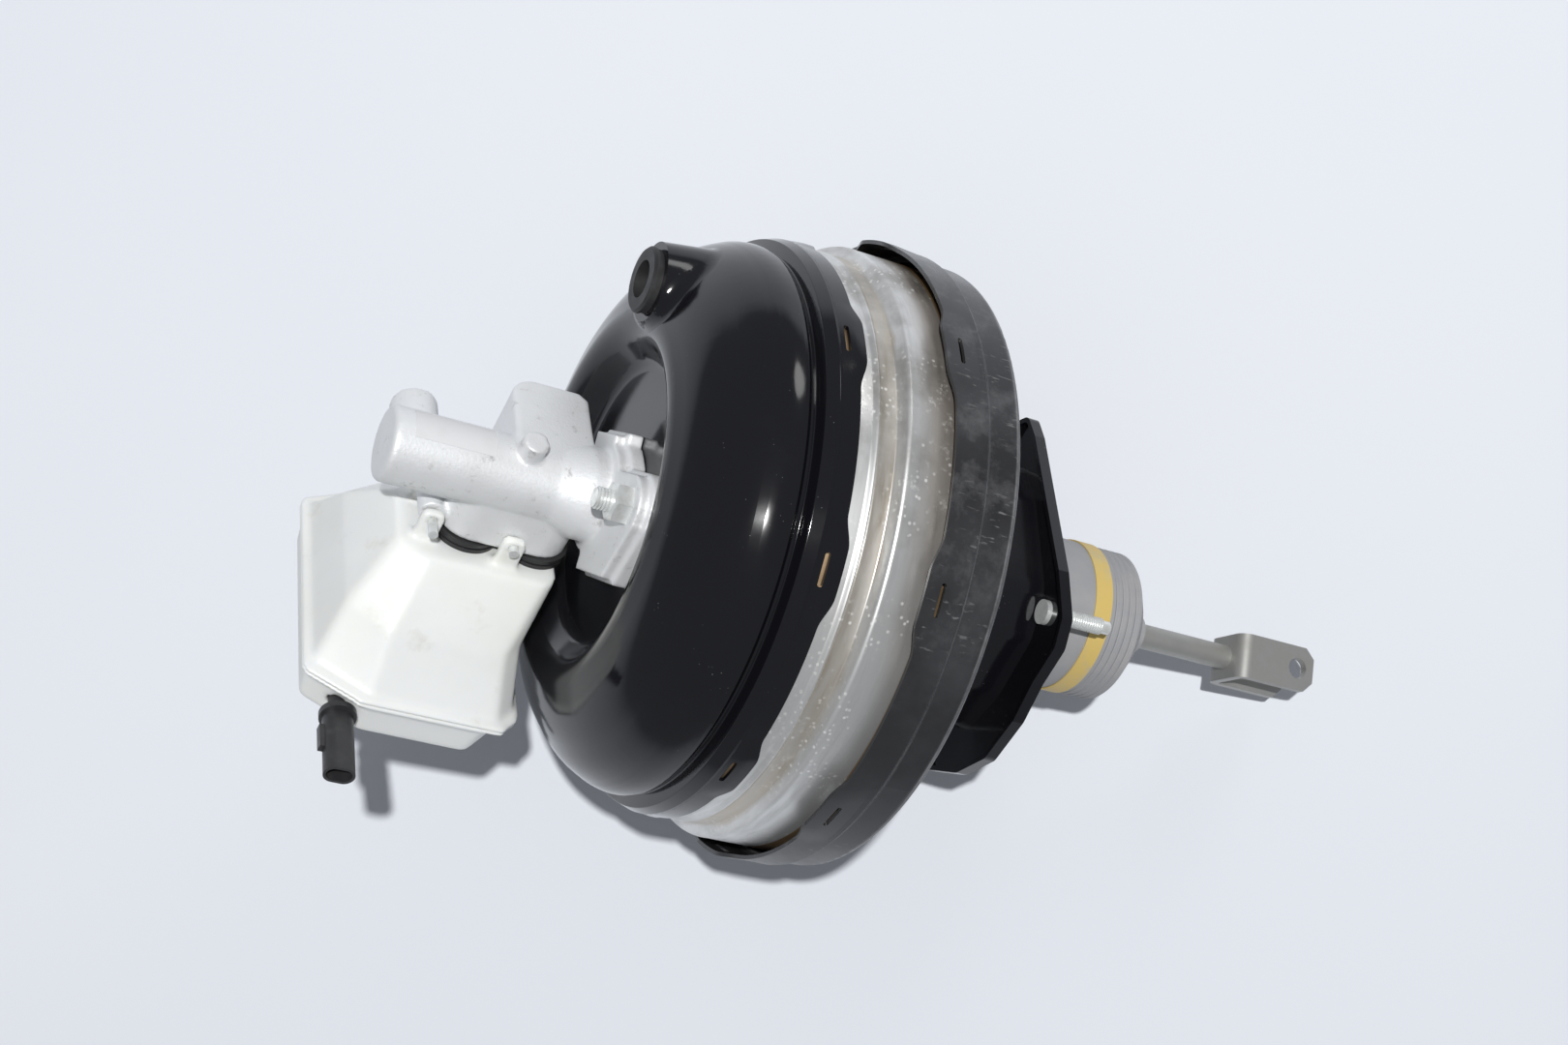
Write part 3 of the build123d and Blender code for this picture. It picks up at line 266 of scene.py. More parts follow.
bandLook = {
    "base": (0.74, 0.74, 0.73), "roughness": 0.4, "metallic": 0.75, "wavyNoise": (26, 5),
    "streakNoise": (30, 5, 0.6), "streakStretch": (8, 1, 1), "streak": (0.5, 0.5, 0.49),
    "streakRange": (0.45, 0.7, 0, 0.5), "waver": (0.3, 0.7, -0.0012, 0.0012),
    "recessFront": (-0.1392, -0.1380), "recessRear": (-0.1296, -0.1308), "tan": (0.46, 0.38, 0.27),
    "tanRange": (0.3, 0.65, 0.75, 0.3), "lowRange": (-0.03, -0.128), "soilRange": (-0.124, -0.112),
    "soilShare": 0.6, "soil": (0.42, 0.33, 0.24), "grimeRange": (0.5, 0.68), "grimeShare": 0.6,
    "grime": (0.24, 0.22, 0.19), "speckScale": 330, "speckRange": (0.3, 0.16),
    "speckPatchNoise": (34, 3), "speckPatchRange": (0.46, 0.6), "speckShare": 0.7,
    "crustNoise": (150, 6, 0.75), "crustRange": (0.56, 0.66), "crustPatchNoise": (16, 3),
    "crustPatchRange": (0.5, 0.64), "white": (0.8, 0.8, 0.78), "frontLap": (-0.1500, -0.1506),
    "rearLap": (-0.1072, -0.1066), "hiddenShare": 0.85, "bronze": (0.34, 0.2, 0.07),
    "metallicRange": (0, 1, 0.75, 0.1), "sheen": (0.3, 0.7, 0.3, 0.52), "crustRelief": (0.0002, 0.4),
    "streakRelief": (0.00012, 0.3),
}


def bareBand():
    # the plated middle housing: stained, with white specks, a tan recess and brown towards the laps
    look = bandLook
    finish = newFinish("bareBand", look["base"], look["roughness"], look["metallic"])
    edge = along(finish, "X")
    wavy = cloudy(finish, *look["wavyNoise"])
    streaks = cloudy(finish, *look["streakNoise"], stretched(finish, look["streakStretch"]))
    tinted(finish, between(finish, streaks, *look["streakRange"]), look["streak"])
    place = sums(finish, "ADD", edge, between(finish, wavy, *look["waver"]))
    recess = sums(finish, "MULTIPLY", between(finish, place, *look["recessFront"]),
                  between(finish, place, *look["recessRear"]))
    tan = sums(finish, "MULTIPLY", recess, between(finish, streaks, *look["tanRange"]))
    tinted(finish, tan, look["tan"])
    low = between(finish, along(finish, "Z"), *look["lowRange"])
    soiled = sums(finish, "MULTIPLY", between(finish, place, *look["soilRange"]), low)
    tinted(finish, sums(finish, "MULTIPLY", soiled, look["soilShare"]), look["soil"])
    grime = sums(finish, "MULTIPLY", between(finish, wavy, *look["grimeRange"]), low)
    tinted(finish, sums(finish, "MULTIPLY", grime, look["grimeShare"]), look["grime"])
    specks = between(finish, dotted(finish, look["speckScale"]), *look["speckRange"])
    speckPatches = between(finish, cloudy(finish, *look["speckPatchNoise"]), *look["speckPatchRange"])
    specks = sums(finish, "MULTIPLY", specks, speckPatches)
    crust = between(finish, cloudy(finish, *look["crustNoise"]), *look["crustRange"])
    crustPatches = between(finish, cloudy(finish, *look["crustPatchNoise"]), *look["crustPatchRange"])
    crust = sums(finish, "MULTIPLY", crust, crustPatches)
    pale = sums(finish, "MAXIMUM", sums(finish, "MULTIPLY", specks, look["speckShare"]), crust)
    tinted(finish, pale, look["white"])
    hidden = sums(finish, "MAXIMUM", between(finish, edge, *look["frontLap"]),
                  between(finish, edge, *look["rearLap"]))
    tinted(finish, sums(finish, "MULTIPLY", hidden, look["hiddenShare"]), look["bronze"])
    uneven(finish, "Metallic", pale, *look["metallicRange"])
    uneven(finish, "Roughness", streaks, *look["sheen"])
    raised(finish, crust, *look["crustRelief"])
    raised(finish, streaks, *look["streakRelief"])
    return finish["material"]


castLook = {
    "base": (0.83, 0.84, 0.85), "roughness": 0.5, "metallic": 0.3, "grainNoise": (700, 4, 0.65),
    "softNoise": (30, 4), "stain": (0.66, 0.66, 0.66), "stainRange": (0.45, 0.75, 0, 0.4),
    "dirtNoise": (120, 5, 0.7), "dirtRange": (0.6, 0.72), "dirtShare": 0.5, "dirt": (0.25, 0.24, 0.22),
    "sheen": (0.3, 0.7, 0.42, 0.62), "relief": (0.00035, 0.5),
}


def castAlloy():
    look = castLook
    finish = newFinish("castAlloy", look["base"], look["roughness"], look["metallic"])
    grain = cloudy(finish, *look["grainNoise"])
    soft = cloudy(finish, *look["softNoise"])
    tinted(finish, between(finish, soft, *look["stainRange"]), look["stain"])
    dirt = between(finish, cloudy(finish, *look["dirtNoise"]), *look["dirtRange"])
    tinted(finish, sums(finish, "MULTIPLY", dirt, look["dirtShare"]), look["dirt"])
    uneven(finish, "Roughness", grain, *look["sheen"])
    raised(finish, grain, *look["relief"])
    return finish["material"]


turnedLook = {
    "base": (0.66, 0.66, 0.66), "roughness": 0.3, "metallic": 0.95, "lineNoise": (40, 3, 0.5),
    "lineStretch": (30, 1, 1), "sheen": (0.3, 0.7, 0.22, 0.38), "relief": (0.0001, 0.3),
}


def turnedAlloy():
    look = turnedLook
    finish = newFinish("turnedAlloy", look["base"], look["roughness"], look["metallic"])
    lines = cloudy(finish, *look["lineNoise"], stretched(finish, look["lineStretch"]))
    uneven(finish, "Roughness", lines, *look["sheen"])
    raised(finish, lines, *look["relief"])
    return finish["material"]


stripLook = {
    "base": (0.66, 0.48, 0.15), "roughness": 0.5, "softNoise": (45, 5, 0.65), "wornAndHighlight": (0.5, 0.44, 0.3),
    "wornRange": (0.5, 0.66, 0, 0.7), "freshNoise": (120, 3), "freshRange": (0.58, 0.7, 0, 0.7),
    "fresh": (0.62, 0.5, 0.2), "relief": (0.0002, 0.3),
}


def yellowStrip():
    look = stripLook
    finish = newFinish("yellowStrip", look["base"], look["roughness"])
    soft = cloudy(finish, *look["softNoise"])
    tinted(finish, between(finish, soft, *look["wornRange"]), look["wornAndHighlight"])
    fresh = between(finish, cloudy(finish, *look["freshNoise"]), *look["freshRange"])
    tinted(finish, fresh, look["fresh"])
    raised(finish, soft, *look["relief"])
    return finish["material"]


plainLooks = {
    "zincSteel": {
        "base": (0.82, 0.84, 0.83), "roughness": 0.34, "metallic": 0.45, "soft": (160, 4),
        "stain": (0.35, 0.34, 0.3), "stainRange": (0.5, 0.75, 0, 0.5), "sheen": (0.3, 0.7, 0.26, 0.45),
        "grain": (900, 3), "relief": (0.00005, 0.3),
    },
    "springSteel": {
        "base": (0.32, 0.32, 0.33), "roughness": 0.3, "metallic": 0.95, "soft": (200, 3),
        "sheen": (0.3, 0.7, 0.22, 0.42),
    },
    "greySteel": {
        "base": (0.38, 0.38, 0.365), "roughness": 0.48, "metallic": 0.6, "soft": (45, 5, 0.6),
        "stain": (0.3, 0.28, 0.25), "stainRange": (0.5, 0.75, 0, 0.5), "sheen": (0.3, 0.7, 0.4, 0.6),
        "grain": (500, 4), "relief": (0.0001, 0.35),
    },
    "blackRubber": {
        "base": (0.02, 0.02, 0.021), "roughness": 0.55, "soft": (90, 4), "stain": (0.07, 0.07, 0.07),
        "stainRange": (0.5, 0.8, 0, 0.4), "sheen": (0.3, 0.7, 0.42, 0.65), "grain": (600, 3),
        "relief": (0.0001, 0.3),
    },
    "bootRubber": {
        "base": (0.32, 0.32, 0.33), "roughness": 0.62, "soft": (60, 5, 0.6),
        "stain": (0.4, 0.39, 0.38), "stainRange": (0.45, 0.75, 0, 0.6),
        "sheen": (0.3, 0.7, 0.52, 0.72), "grain": (500, 4), "relief": (0.00015, 0.35),
    },
    "milkyPlastic": {
        "base": (0.86, 0.87, 0.84), "roughness": 0.38, "soft": (16, 4), "stain": (0.78, 0.79, 0.73),
        "stainRange": (0.42, 0.68, 0, 0.7), "sheen": (0.3, 0.7, 0.3, 0.46), "grain": (260, 3),
        "relief": (0.00008, 0.3),
    },
    "blackPlastic": {
        "base": (0.03, 0.03, 0.032), "roughness": 0.42, "soft": (130, 4), "stain": (0.09, 0.09, 0.09),
        "stainRange": (0.5, 0.8, 0, 0.4), "sheen": (0.3, 0.7, 0.32, 0.5), "grain": (800, 3),
        "relief": (0.00005, 0.3),
    },
    "labelPaper": {
        "base": (0.72, 0.72, 0.73), "roughness": 0.55, "soft": (70, 4), "stain": (0.6, 0.6, 0.58),
        "stainRange": (0.5, 0.8, 0, 0.4), "grain": (500, 2), "relief": (0.00003, 0.3),
    },
}


def plainFinish(name):
    # one colour with soft stains, an uneven sheen and a fine grain, as far as its look has them
    look = plainLooks[name]
    finish = newFinish(name, look["base"], look["roughness"], look.get("metallic", 0))
    soft = cloudy(finish, *look["soft"])
    if "stain" in look:
        tinted(finish, between(finish, soft, *look["stainRange"]), look["stain"])
    if "sheen" in look:
        uneven(finish, "Roughness", soft, *look["sheen"])
    if "grain" in look:
        raised(finish, cloudy(finish, *look["grain"]), *look["relief"])
    return finish


milkyDepth = {
    "weight": 0.35, "radius": (0.9, 0.85, 0.6), "scale": 0.006, "grimeNoise": (55, 5, 0.65),
    "grimeRange": (0.6, 0.8, 0, 0.35), "grime": (0.5, 0.46, 0.38),
}


def milkyPlastic():
    look = milkyDepth
    finish = plainFinish("milkyPlastic")
    sockets = finish["shader"].inputs
    sockets["Subsurface Weight"].default_value = look["weight"]
    sockets["Subsurface Radius"].default_value = look["radius"]
    sockets["Subsurface Scale"].default_value = look["scale"]
    grime = cloudy(finish, *look["grimeNoise"])
    tinted(finish, between(finish, grime, *look["grimeRange"]), look["grime"])
    return finish["material"]


foamLook = {"base": (0.14, 0.14, 0.14), "roughness": 0.9, "cells": 900, "relief": (0.0006, 0.8)}


def filterFoam():
    look = foamLook
    finish = newFinish("filterFoam", look["base"], look["roughness"])
    raised(finish, dotted(finish, look["cells"]), *look["relief"])
    return finish["material"]


gloss, satin, band, cast, turned = glossPaint(), satinPaint(), bareBand(), castAlloy(), turnedAlloy()
plainNames = ("zincSteel", "springSteel", "greySteel", "blackRubber", "bootRubber", "blackPlastic",
              "labelPaper")
zinc, spring, steel, rubber, boot, plastic, paper = [plainFinish(name)["material"] for name in plainNames]
strip, milky, foam = yellowStrip(), milkyPlastic(), filterFoam()
finishOf = {
    "black_shell": satin, "bare_housing": band, "zinc_steel": zinc, "spring_steel": spring,
    "cast_alloy": cast, "turned_alloy": turned, "black_rubber": rubber, "boot_rubber": boot,
    "yellow_tape": strip, "milky_plastic": milky, "black_plastic": plastic, "rod_steel": steel,
    "filter_foam": foam,
}
for entry in frame["record"]["subparts"]:
    piece = nodes[entry["node"]]
    piece.data.materials.clear()
    glossy = entry["node"] in ("front_shell", "mounting_bracket")
    piece.data.materials.append(gloss if glossy else finishOf[entry["material_slot"]])
print("finishes given to the solids")


# Helpers for modelling

def nothingSelected():
    if bpy.context.object and bpy.context.object.mode == "EDIT":
        bpy.ops.object.mode_set(mode="OBJECT")
    bpy.ops.object.select_all(action="DESELECT")


def settled(name, body, finish):
    # names the active object, puts its place into its mesh and hangs it on its body
    piece = bpy.context.object
    piece.name = name
    piece.data.name = name
    bpy.ops.object.transform_apply(location=True, rotation=True, scale=True)
    piece.data.materials.clear()
    piece.data.materials.append(finish)
    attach(piece, body)
    return piece


def picked(test, kind="FACE"):
    # selects what passes the test, with the active object in edit mode
    bpy.ops.mesh.select_mode(type=kind)
    bpy.ops.mesh.select_all(action="DESELECT")
    shape = bmesh.from_edit_mesh(bpy.context.object.data)
    for part in (shape.faces if kind == "FACE" else shape.verts):
        part.select = test(part)
    shape.select_flush_mode()
    bmesh.update_edit_mesh(bpy.context.object.data)


slotOf = {entry["node"]: entry["material_slot"] for entry in frame["record"]["subparts"]}


def freeCopy(nodeName, name):
    # a copy of a solid's mesh that the scene may reshape
    nothingSelected()
    source = nodes[nodeName]
    source.select_set(True)
    bpy.context.view_layer.objects.active = source
    bpy.ops.object.duplicate()
    piece = bpy.context.object
    piece.name = name
    del piece["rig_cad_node"]
    bpy.ops.object.parent_clear(type="CLEAR_KEEP_TRANSFORM")
    return piece


def softCopy(nodeName, name, spec, finish):
    # a cast or moulded piece: the solid's own form with its edges rounded off
    piece = freeCopy(nodeName, name)
    body, slotName = piece["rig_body"], slotOf[nodeName]
    bpy.ops.object.mode_set(mode="EDIT")
    bpy.ops.mesh.select_all(action="SELECT")
    bpy.ops.mesh.remove_doubles(threshold=weld)
    bpy.ops.object.mode_set(mode="OBJECT")
    remesh = piece.modifiers.new("evenMesh", "REMESH")
    remesh.mode = "VOXEL"
    remesh.voxel_size = spec["voxel"]
    bpy.ops.object.modifier_apply(modifier="evenMesh")
    smooth = piece.modifiers.new("soften", "SMOOTH")
    smooth.factor = spec["factor"]
    smooth.iterations = spec["rounds"]
    bpy.ops.object.modifier_apply(modifier="soften")
    bpy.ops.object.shade_smooth()
    piece = settled(name, body, finish)
    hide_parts(nodeName)
    print(name, "has", len(piece.data.polygons), "faces")


def joinedPieces(parts):
    nothingSelected()
    for part in parts:
        part.select_set(True)
    bpy.context.view_layer.objects.active = parts[0]
    bpy.ops.object.join()
    return bpy.context.object


def stepped(sides, start, steps):
    # a round bar along X: each step gives the next (x, radius), and the last ring is closed
    nothingSelected()
    firstX, firstRadius = steps[0]
    bpy.ops.mesh.primitive_circle_add(vertices=sides, radius=firstRadius, fill_type="NGON",
                                      location=(firstX, start[1], start[2]), rotation=(0, pi / 2, 0))
    bpy.ops.object.mode_set(mode="EDIT")
    bpy.ops.mesh.select_all(action="SELECT")
    x, radius = firstX, firstRadius
    for nextX, nextRadius in steps[1:]:
        # the object is turned, so the move is given in the row's own axes
        bpy.ops.mesh.extrude_region_move(
            TRANSFORM_OT_translate={"value": (nextX - x, 0, 0), "orient_type": "GLOBAL"})
        share = nextRadius / radius
        bpy.ops.transform.resize(value=(1, share, share), orient_type="GLOBAL",
                                 center_override=(nextX, start[1], start[2]))
        x, radius = nextX, nextRadius
    bpy.ops.mesh.select_all(action="SELECT")
    bpy.ops.mesh.normals_make_consistent(inside=False)
    bpy.ops.object.mode_set(mode="OBJECT")
    bpy.ops.object.shade_smooth_by_angle(angle=radians(smoothAngle["bar"]))
    return bpy.context.object


threadShare = {"root": 0.1, "crestFrom": 0.45, "crestTo": 0.6, "last": 0.75}


def threadSteps(start, end, radius, pitch, depth):
    # crests and roots of a thread, as rings
    share = threadShare
    steps, x = [], start
    while x < end - pitch * share["last"]:
        steps += [(x + pitch * share["root"], radius - depth), (x + pitch * share["crestFrom"], radius),
                  (x + pitch * share["crestTo"], radius)]
        x += pitch
    return steps


def spunRing(outline, sides, closed):
    # sheet round the axis from (x, radius) corners, joined up to a ring where closed
    nothingSelected()
    x, radius = outline[0]
    bpy.ops.mesh.primitive_circle_add(vertices=sides, radius=radius, fill_type="NOTHING",
                                      location=(x, 0, 0), rotation=(0, pi / 2, 0))
    bpy.ops.object.transform_apply(location=True, rotation=True, scale=True)
    bpy.ops.object.mode_set(mode="EDIT")
    bpy.ops.mesh.select_all(action="SELECT")
    for nextX, nextRadius in outline[1:] + (outline[:1] if closed else []):
        bpy.ops.mesh.extrude_region_move(
            TRANSFORM_OT_translate={"value": (nextX - x, 0, 0), "orient_type": "GLOBAL"})
        share = nextRadius / radius
        bpy.ops.transform.resize(value=(1, share, share), orient_type="GLOBAL",
                                 center_override=(nextX, 0, 0))
        x, radius = nextX, nextRadius
    bpy.ops.mesh.select_all(action="SELECT")
    bpy.ops.mesh.remove_doubles(threshold=weld)
    bpy.ops.mesh.normals_make_consistent(inside=False)
    bpy.ops.object.mode_set(mode="OBJECT")
    return bpy.context.object


# The bright housing between the laps

plated = {
    "sides": 288, "sheet": 0.0018, "bendAngle": 9, "bend": 0.0005, "bendSegments": 2,
    "outline": [(-0.1565, 0.1299), (-0.1415, 0.1303), (-0.1400, 0.1316), (-0.1391, 0.1320),
                (-0.1384, 0.1312), (-0.1366, 0.1311), (-0.1306, 0.1314), (-0.1292, 0.1340),
                (-0.1283, 0.1363), (-0.1270, 0.1370), (-0.1255, 0.1368), (-0.0880, 0.1368)],
}


def platedHousing():
    spec = plated
    back = [(x, radius - spec["sheet"]) for x, radius in reversed(spec["outline"])]
    piece = spunRing(spec["outline"] + back, spec["sides"], True)
    bend = piece.modifiers.new("bends", "BEVEL")
    bend.limit_method = "ANGLE"
    bend.angle_limit = radians(spec["bendAngle"])
    bend.width = spec["bend"]
    bend.segments = spec["bendSegments"]
    bpy.ops.object.modifier_apply(modifier="bends")
    bpy.ops.object.shade_smooth_by_angle(angle=radians(smoothAngle["plated"]))
    piece = settled("platedHousing", "housing", band)
    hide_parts("centre_housing")


platedHousing()
print("plated housing modelled")

# The crimped laps of both shells

tabs = {
    "first": -36, "count": 8, "flat": 4.2, "flare": 10.5, "rise": 0.0009, "riseRate": 1.6,
    "slotLength": 0.0145, "slotWidth": 0.0023, "slotDepth": 0.012, "slotSides": 20, "sides": 576,
    "stations": [0, 0.2, 0.4, 0.55, 0.7, 0.85, 0.94, 1],
}
laps = {
    "frontLap": {
        "node": "front_shell", "cut": -0.1565, "edge": -0.1481, "reach": 0.0030, "radius": 0.1320,
        "sheet": 0.0018, "slot": -0.1532,
    },
    "rearLap": {
        "node": "rear_shell", "cut": -0.0970, "edge": -0.1091, "reach": -0.0036, "radius": 0.1432,
        "sheet": 0.0018, "slot": -0.1050,
    },
}


def tabShare(y, z):
    # 1 in the middle of a crimp tab, 0 between the tabs
    pitch = 360 / tabs["count"]
    away = abs((degrees(atan2(z, y)) - tabs["first"] + pitch / 2) % pitch - pitch / 2)
    share = min(max((tabs["flare"] - away) / (tabs["flare"] - tabs["flat"]), 0), 1)
    return share * share * (3 - 2 * share)


def slotCutters(spec):
    cutters = []
    for step in range(tabs["count"]):
        angle = radians(tabs["first"] + step * 360 / tabs["count"])
        half = (tabs["slotLength"] - tabs["slotWidth"]) / 2
        nothingSelected()
        bpy.ops.mesh.primitive_cylinder_add(vertices=tabs["slotSides"], radius=tabs["slotWidth"] / 2,
                                            depth=tabs["slotDepth"],
                                            location=(spec["slot"], 0, spec["radius"]))
        bpy.ops.object.mode_set(mode="EDIT")
        picked(lambda vert: vert.co.y > nearZero, "VERT")
        bpy.ops.transform.translate(value=(0, half, 0), orient_type="GLOBAL")
        picked(lambda vert: vert.co.y < -nearZero, "VERT")
        bpy.ops.transform.translate(value=(0, -half, 0), orient_type="GLOBAL")
        bpy.ops.mesh.select_all(action="SELECT")
        bpy.ops.transform.rotate(value=pi / 2 - angle, orient_axis="X", orient_type="GLOBAL",
                                 center_override=(0, 0, 0))
        bpy.ops.object.mode_set(mode="OBJECT")
        cutters.append(bpy.context.object)
    return joinedPieces(cutters)


def crimpedLap(name, spec, finish):
    inner = spec["radius"] - spec["sheet"]
    run = spec["edge"] - spec["cut"]
    outer = [(spec["cut"] + run * share, spec["radius"]) for share in tabs["stations"]]
    back = [(spec["cut"] + run * share, inner) for share in reversed(tabs["stations"])]
    ring = spunRing(outer + back, tabs["sides"], False)
    for vertex in ring.data.vertices:
        tab = tabShare(vertex.co.y, vertex.co.z)
        share = (vertex.co.x - spec["cut"]) / run
        vertex.co.x += spec["reach"] * tab * share
        lift = 1 + tabs["rise"] * tab * min(share * tabs["riseRate"], 1) / spec["radius"]
        vertex.co.y *= lift
        vertex.co.z *= lift
    cutter = slotCutters(spec)
    nothingSelected()
    ring.select_set(True)
    bpy.context.view_layer.objects.active = ring
    slots = ring.modifiers.new("slots", "BOOLEAN")
    slots.operation = "DIFFERENCE"
    slots.solver = "EXACT"
    slots.object = cutter
    bpy.ops.object.modifier_apply(modifier="slots")
    bpy.data.objects.remove(cutter)
    shell = freeCopy(spec["node"], name)
    bpy.ops.object.mode_set(mode="EDIT")
    bpy.ops.mesh.select_all(action="SELECT")
    front = spec["reach"] > 0
    bpy.ops.mesh.bisect(plane_co=(spec["cut"], 0, 0), plane_no=(1, 0, 0), clear_outer=front,
                        clear_inner=not front)
    bpy.ops.object.mode_set(mode="OBJECT")
    piece = joinedPieces([shell, ring])
    bpy.ops.object.shade_smooth_by_angle(angle=radians(smoothAngle["sheet"]))
    piece = settled(name, "housing", finish)
    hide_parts(spec["node"])
    print(name, "has", len(piece.data.polygons), "faces")


crimpedLap("frontLap", laps["frontLap"], gloss)
crimpedLap("rearLap", laps["rearLap"], satin)

# Cast and moulded pieces

castBody = {"voxel": 0.0009, "rounds": 5, "factor": 0.5}
softCopy("master_cylinder_body", "cylinderCasting", castBody, cast)
tankHalf = {"voxel": 0.0013, "rounds": 9, "factor": 0.5}
softCopy("reservoir_lower", "tankLower", tankHalf, milky)
softCopy("reservoir_upper", "tankUpper", tankHalf, milky)

# Threaded studs

studRing = {
    "angle": -38, "circle": 0.050, "radius": 0.004, "threadFrom": 0.0015, "threadTo": 0.0265,
    "tipRadius": 0.0031, "tip": 0.031, "tipStep": 0.0005, "tipRound": 0.0006, "pitch": 0.00125,
    "depth": 0.00055, "headRadius": 0.0058, "headDepth": 0.0025, "shankRadius": 0.005, "sides": 40,
}


def bulkheadStud(turn):
    spec = studRing
    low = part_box("bulkhead_studs")[0]
    angle = radians(spec["angle"] + turn)
    centre = (low.x, spec["circle"] * cos(angle), spec["circle"] * sin(angle))
    head = low.x + spec["headDepth"]
    steps = [(low.x, spec["headRadius"]), (head, spec["headRadius"]), (head, spec["shankRadius"]),
             (0, spec["shankRadius"]), (0, spec["radius"]), (spec["threadFrom"], spec["radius"])]
    steps += threadSteps(spec["threadFrom"], spec["threadTo"], spec["radius"], spec["pitch"],
                         spec["depth"])
    steps += [(spec["threadTo"], spec["radius"] - spec["depth"]),
              (spec["threadTo"] + spec["tipStep"], spec["tipRadius"]),
              (spec["tip"] - spec["tipRound"], spec["tipRadius"]),
              (spec["tip"], spec["tipRadius"] - spec["tipRound"])]
    return stepped(spec["sides"], centre, steps)


rearStuds = joinedPieces([bulkheadStud(turn) for turn in (0, 180)])
rearStuds = settled("threadedRearStuds", "housing", zinc)
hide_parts("bulkhead_studs")

frontStud = {
    "angle": -38, "circle": 0.043, "radius": 0.005, "pitch": 0.0015, "depth": 0.0007,
    "headRadius": 0.010, "headDepth": 0.0025, "leadIn": 0.0004, "smoothFrom": 0.007, "sides": 40,
}


def cylinderStud(turn):
    spec = frontStud
    low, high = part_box("cylinder_studs")
    angle = radians(spec["angle"] + turn)
    centre = (low.x, spec["circle"] * cos(angle), spec["circle"] * sin(angle))
    threadEnd = low.x + spec["smoothFrom"]
    steps = [(low.x, spec["radius"] - spec["depth"])]
    steps += threadSteps(low.x + spec["leadIn"], threadEnd, spec["radius"], spec["pitch"], spec["depth"])
    steps += [(threadEnd, spec["radius"]), (high.x - spec["headDepth"], spec["radius"]),
              (high.x - spec["headDepth"], spec["headRadius"]), (high.x, spec["headRadius"])]
    return stepped(spec["sides"], centre, steps)


frontStuds = joinedPieces([cylinderStud(turn) for turn in (0, 180)])
frontStuds = settled("threadedFrontStuds", "housing", zinc)
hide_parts("cylinder_studs")
print("threaded studs modelled")

# Soft pieces and springs, which change shape on the real part as the pedal moves; here each is a copy of
# its solid with a mesh of its own

softBoot = freeCopy("dust_boot", "softBoot")
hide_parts("dust_boot")
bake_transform(softBoot)

springs = {
    "mainCoil": {
        "node": "main_spring", "body": "housing", "joint": "servo_travel", "anchor": -0.1925,
        "keep": 0.33,
    },
    "secondaryCoil": {
        "node": "secondary_spring", "body": "housing", "joint": "secondary_travel", "anchor": -0.3023,
        "keep": 0.64,
    },
}
for name, spec in springs.items():
    coil = freeCopy(spec["node"], name)
    coil = settled(name, spec["body"], spring)
    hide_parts(spec["node"])
    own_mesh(coil)
print("soft pieces and springs set up")

# The blank label on the barrel

label = {
    "start": -0.2985, "end": -0.262, "from": -113, "to": -58, "radius": 0.01708, "thickness": 0.00012,
    "sides": 144,
}


def facing(face):
    # the direction from the axis to a face
    centre = face.calc_center_median()
    return Vector((0, centre.y, centre.z))


def blankLabel():
    spec = label
    nothingSelected()
    length = spec["end"] - spec["start"]
    middleX = (spec["start"] + spec["end"]) / 2
    bpy.ops.mesh.primitive_cylinder_add(vertices=spec["sides"], radius=spec["radius"], depth=length,
                                        end_fill_type="NOTHING", location=(middleX, 0, 0),
                                        rotation=(0, pi / 2, 0))
    bpy.ops.object.transform_apply(location=True, rotation=True, scale=True)
    bpy.ops.object.mode_set(mode="EDIT")
    middleAngle = radians((spec["from"] + spec["to"]) / 2)
    half = radians(spec["to"] - spec["from"]) / 2
    middleWay = Vector((0, cos(middleAngle), sin(middleAngle)))
    picked(lambda face: facing(face).angle(middleWay) > half)
    bpy.ops.mesh.delete(type="FACE")
    bpy.ops.object.mode_set(mode="OBJECT")
    piece = bpy.context.object
    thick = piece.modifiers.new("paper", "SOLIDIFY")
    thick.thickness = spec["thickness"]
    thick.offset = 1
    bpy.ops.object.modifier_apply(modifier="paper")
    bpy.ops.object.shade_smooth_by_angle(angle=radians(smoothAngle["sheet"]))
    settled("blankLabel", "housing", paper)


blankLabel()
print("label modelled")

# Camera, floor and light

viewer = {
    "place": (-0.5725, 0.8221, -0.6546), "turn": (-128.872, 25.784, 9.430), "lens": 57.8, "sensor": 36,
    "near": 0.01, "far": 20,
}
bpy.ops.object.camera_add(location=viewer["place"], rotation=[radians(angle) for angle in viewer["turn"]])
camera = bpy.context.object
camera.name = "camera"
camera.data.lens = viewer["lens"]
camera.data.sensor_width = viewer["sensor"]
camera.data.clip_start = viewer["near"]
camera.data.clip_end = viewer["far"]
camera.data.dof.use_dof = False
bpy.context.scene.camera = camera
towards = Euler([radians(angle) for angle in viewer["turn"]]).to_matrix()
sideways, upwards, back = towards.col[0].copy(), towards.col[1].copy(), towards.col[2].copy()

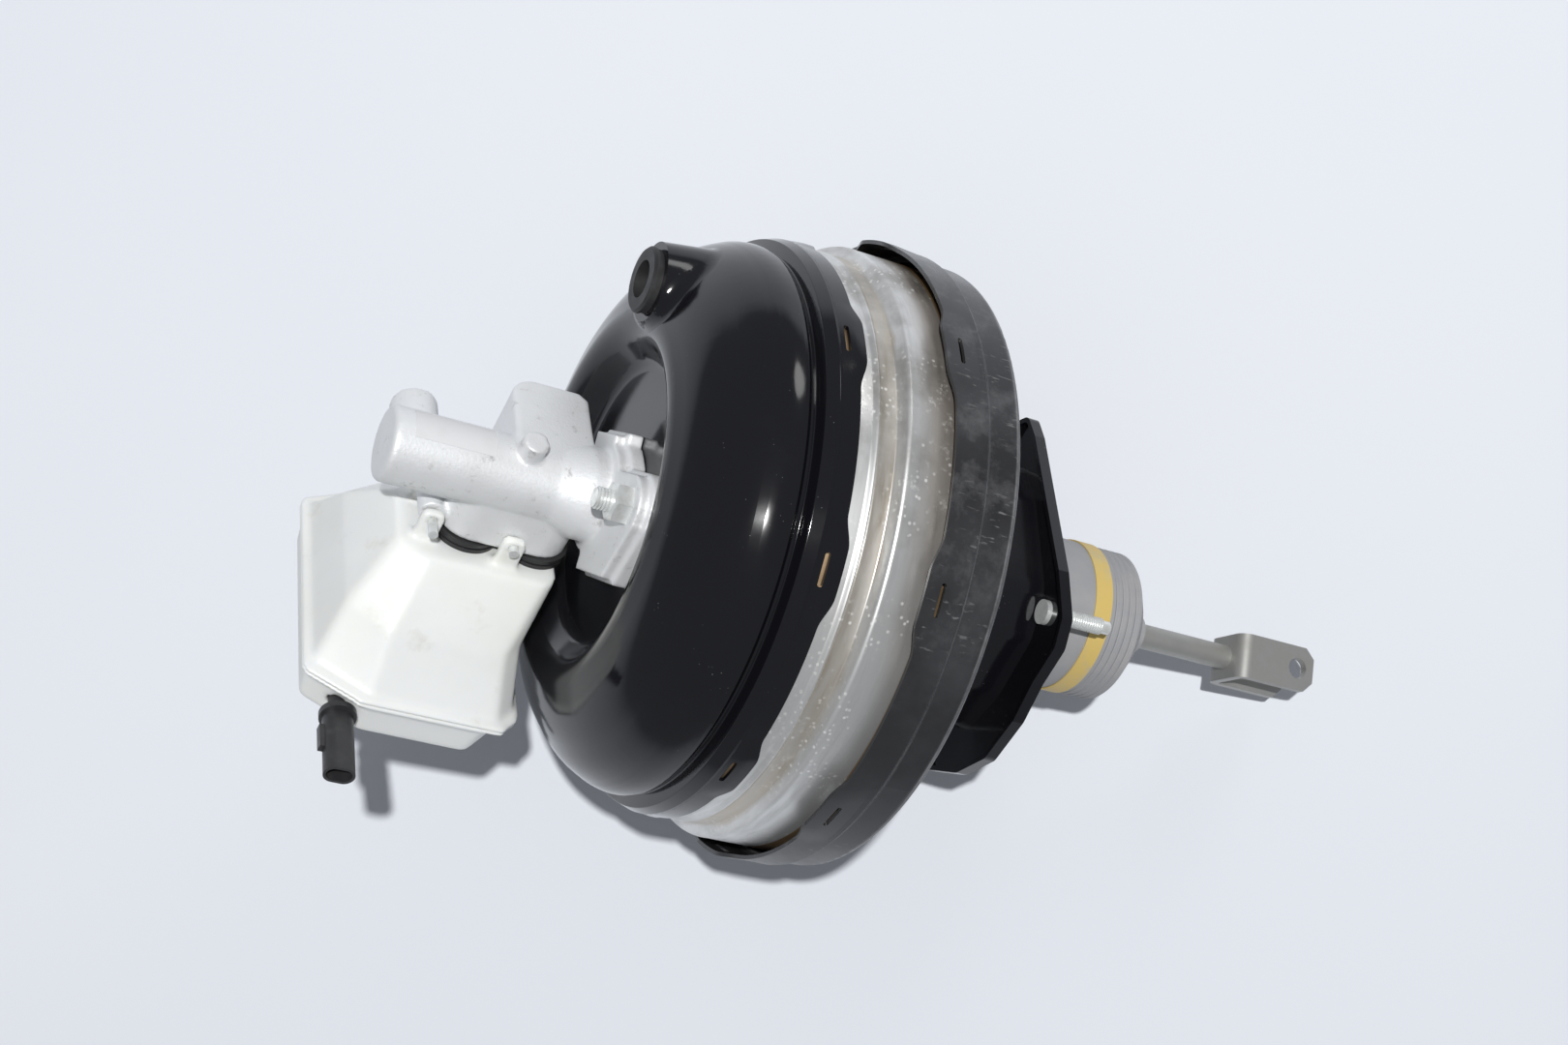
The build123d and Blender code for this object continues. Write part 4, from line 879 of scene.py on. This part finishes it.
# the part lies on a pale table that the camera looks straight down on
table = {
    "axisPoint": Vector((-0.095, 0, 0)), "gap": 0.0003, "size": 9.0, "colour": (0.77, 0.79, 0.835),
    "roughness": 0.7, "specular": 0.2, "cloudNoise": (1.6, 3), "cloudRange": (0.35, 0.65),
    "cloud": (0.75, 0.775, 0.825),
}
deepest = max((table["axisPoint"] - piece.matrix_world @ vertex.co).dot(back)
              for piece in nodes.values() for vertex in piece.data.vertices)
print("the table lies", round(deepest * 1000, 1), "mm below the axis point")
bpy.ops.mesh.primitive_plane_add(size=table["size"],
                                 location=table["axisPoint"] - back * (deepest + table["gap"]),
                                 rotation=[radians(angle) for angle in viewer["turn"]])
floor = bpy.context.object
floor.name = "floor"
floorFinish = newFinish("paleTable", table["colour"], table["roughness"])
floorFinish["shader"].inputs["Specular IOR Level"].default_value = table["specular"]
clouds = cloudy(floorFinish, *table["cloudNoise"])
tinted(floorFinish, between(floorFinish, clouds, *table["cloudRange"]), table["cloud"])
# the table is clear from below, so a view from behind still shows the part
floorTree = floorFinish["tree"]
side = floorTree.nodes.new("ShaderNodeNewGeometry")
clear = floorTree.nodes.new("ShaderNodeBsdfTransparent")
either = floorTree.nodes.new("ShaderNodeMixShader")
floorTree.links.new(side.outputs["Backfacing"], either.inputs[0])
floorTree.links.new(floorFinish["shader"].outputs["BSDF"], either.inputs[1])
floorTree.links.new(clear.outputs["BSDF"], either.inputs[2])
floorTree.links.new(either.outputs["Shader"], floorTree.nodes["Material Output"].inputs["Surface"])
floor.data.materials.append(floorFinish["material"])

lamps = {
    "flash": {"side": 0.07, "up": 0.46, "back": 3.2, "size": 0.08, "watts": 90.0},
    "window": {"side": 0.9, "up": 1.5, "back": 0.7, "size": 0.5, "watts": 2.5},
}
middle = table["axisPoint"]
for name, lamp in lamps.items():
    spot = middle + sideways * lamp["side"] + upwards * lamp["up"] + back * lamp["back"]
    aim = (spot - middle).to_track_quat("Z", "Y").to_euler()
    bpy.ops.object.light_add(type="AREA", location=spot, rotation=aim)
    light = bpy.context.object
    light.name = name
    light.data.shape = "DISK"
    light.data.size = lamp["size"]
    light.data.energy = lamp["watts"]

sky = {"colour": (0.9, 0.94, 1.0, 1), "strength": 0.24}
world = bpy.data.worlds.new("studio")
bpy.context.scene.world = world
world.use_nodes = True
world.node_tree.nodes["Background"].inputs["Color"].default_value = sky["colour"]
world.node_tree.nodes["Background"].inputs["Strength"].default_value = sky["strength"]
bpy.context.scene.view_settings.view_transform = "Standard"
print("camera, floor and light are in place")
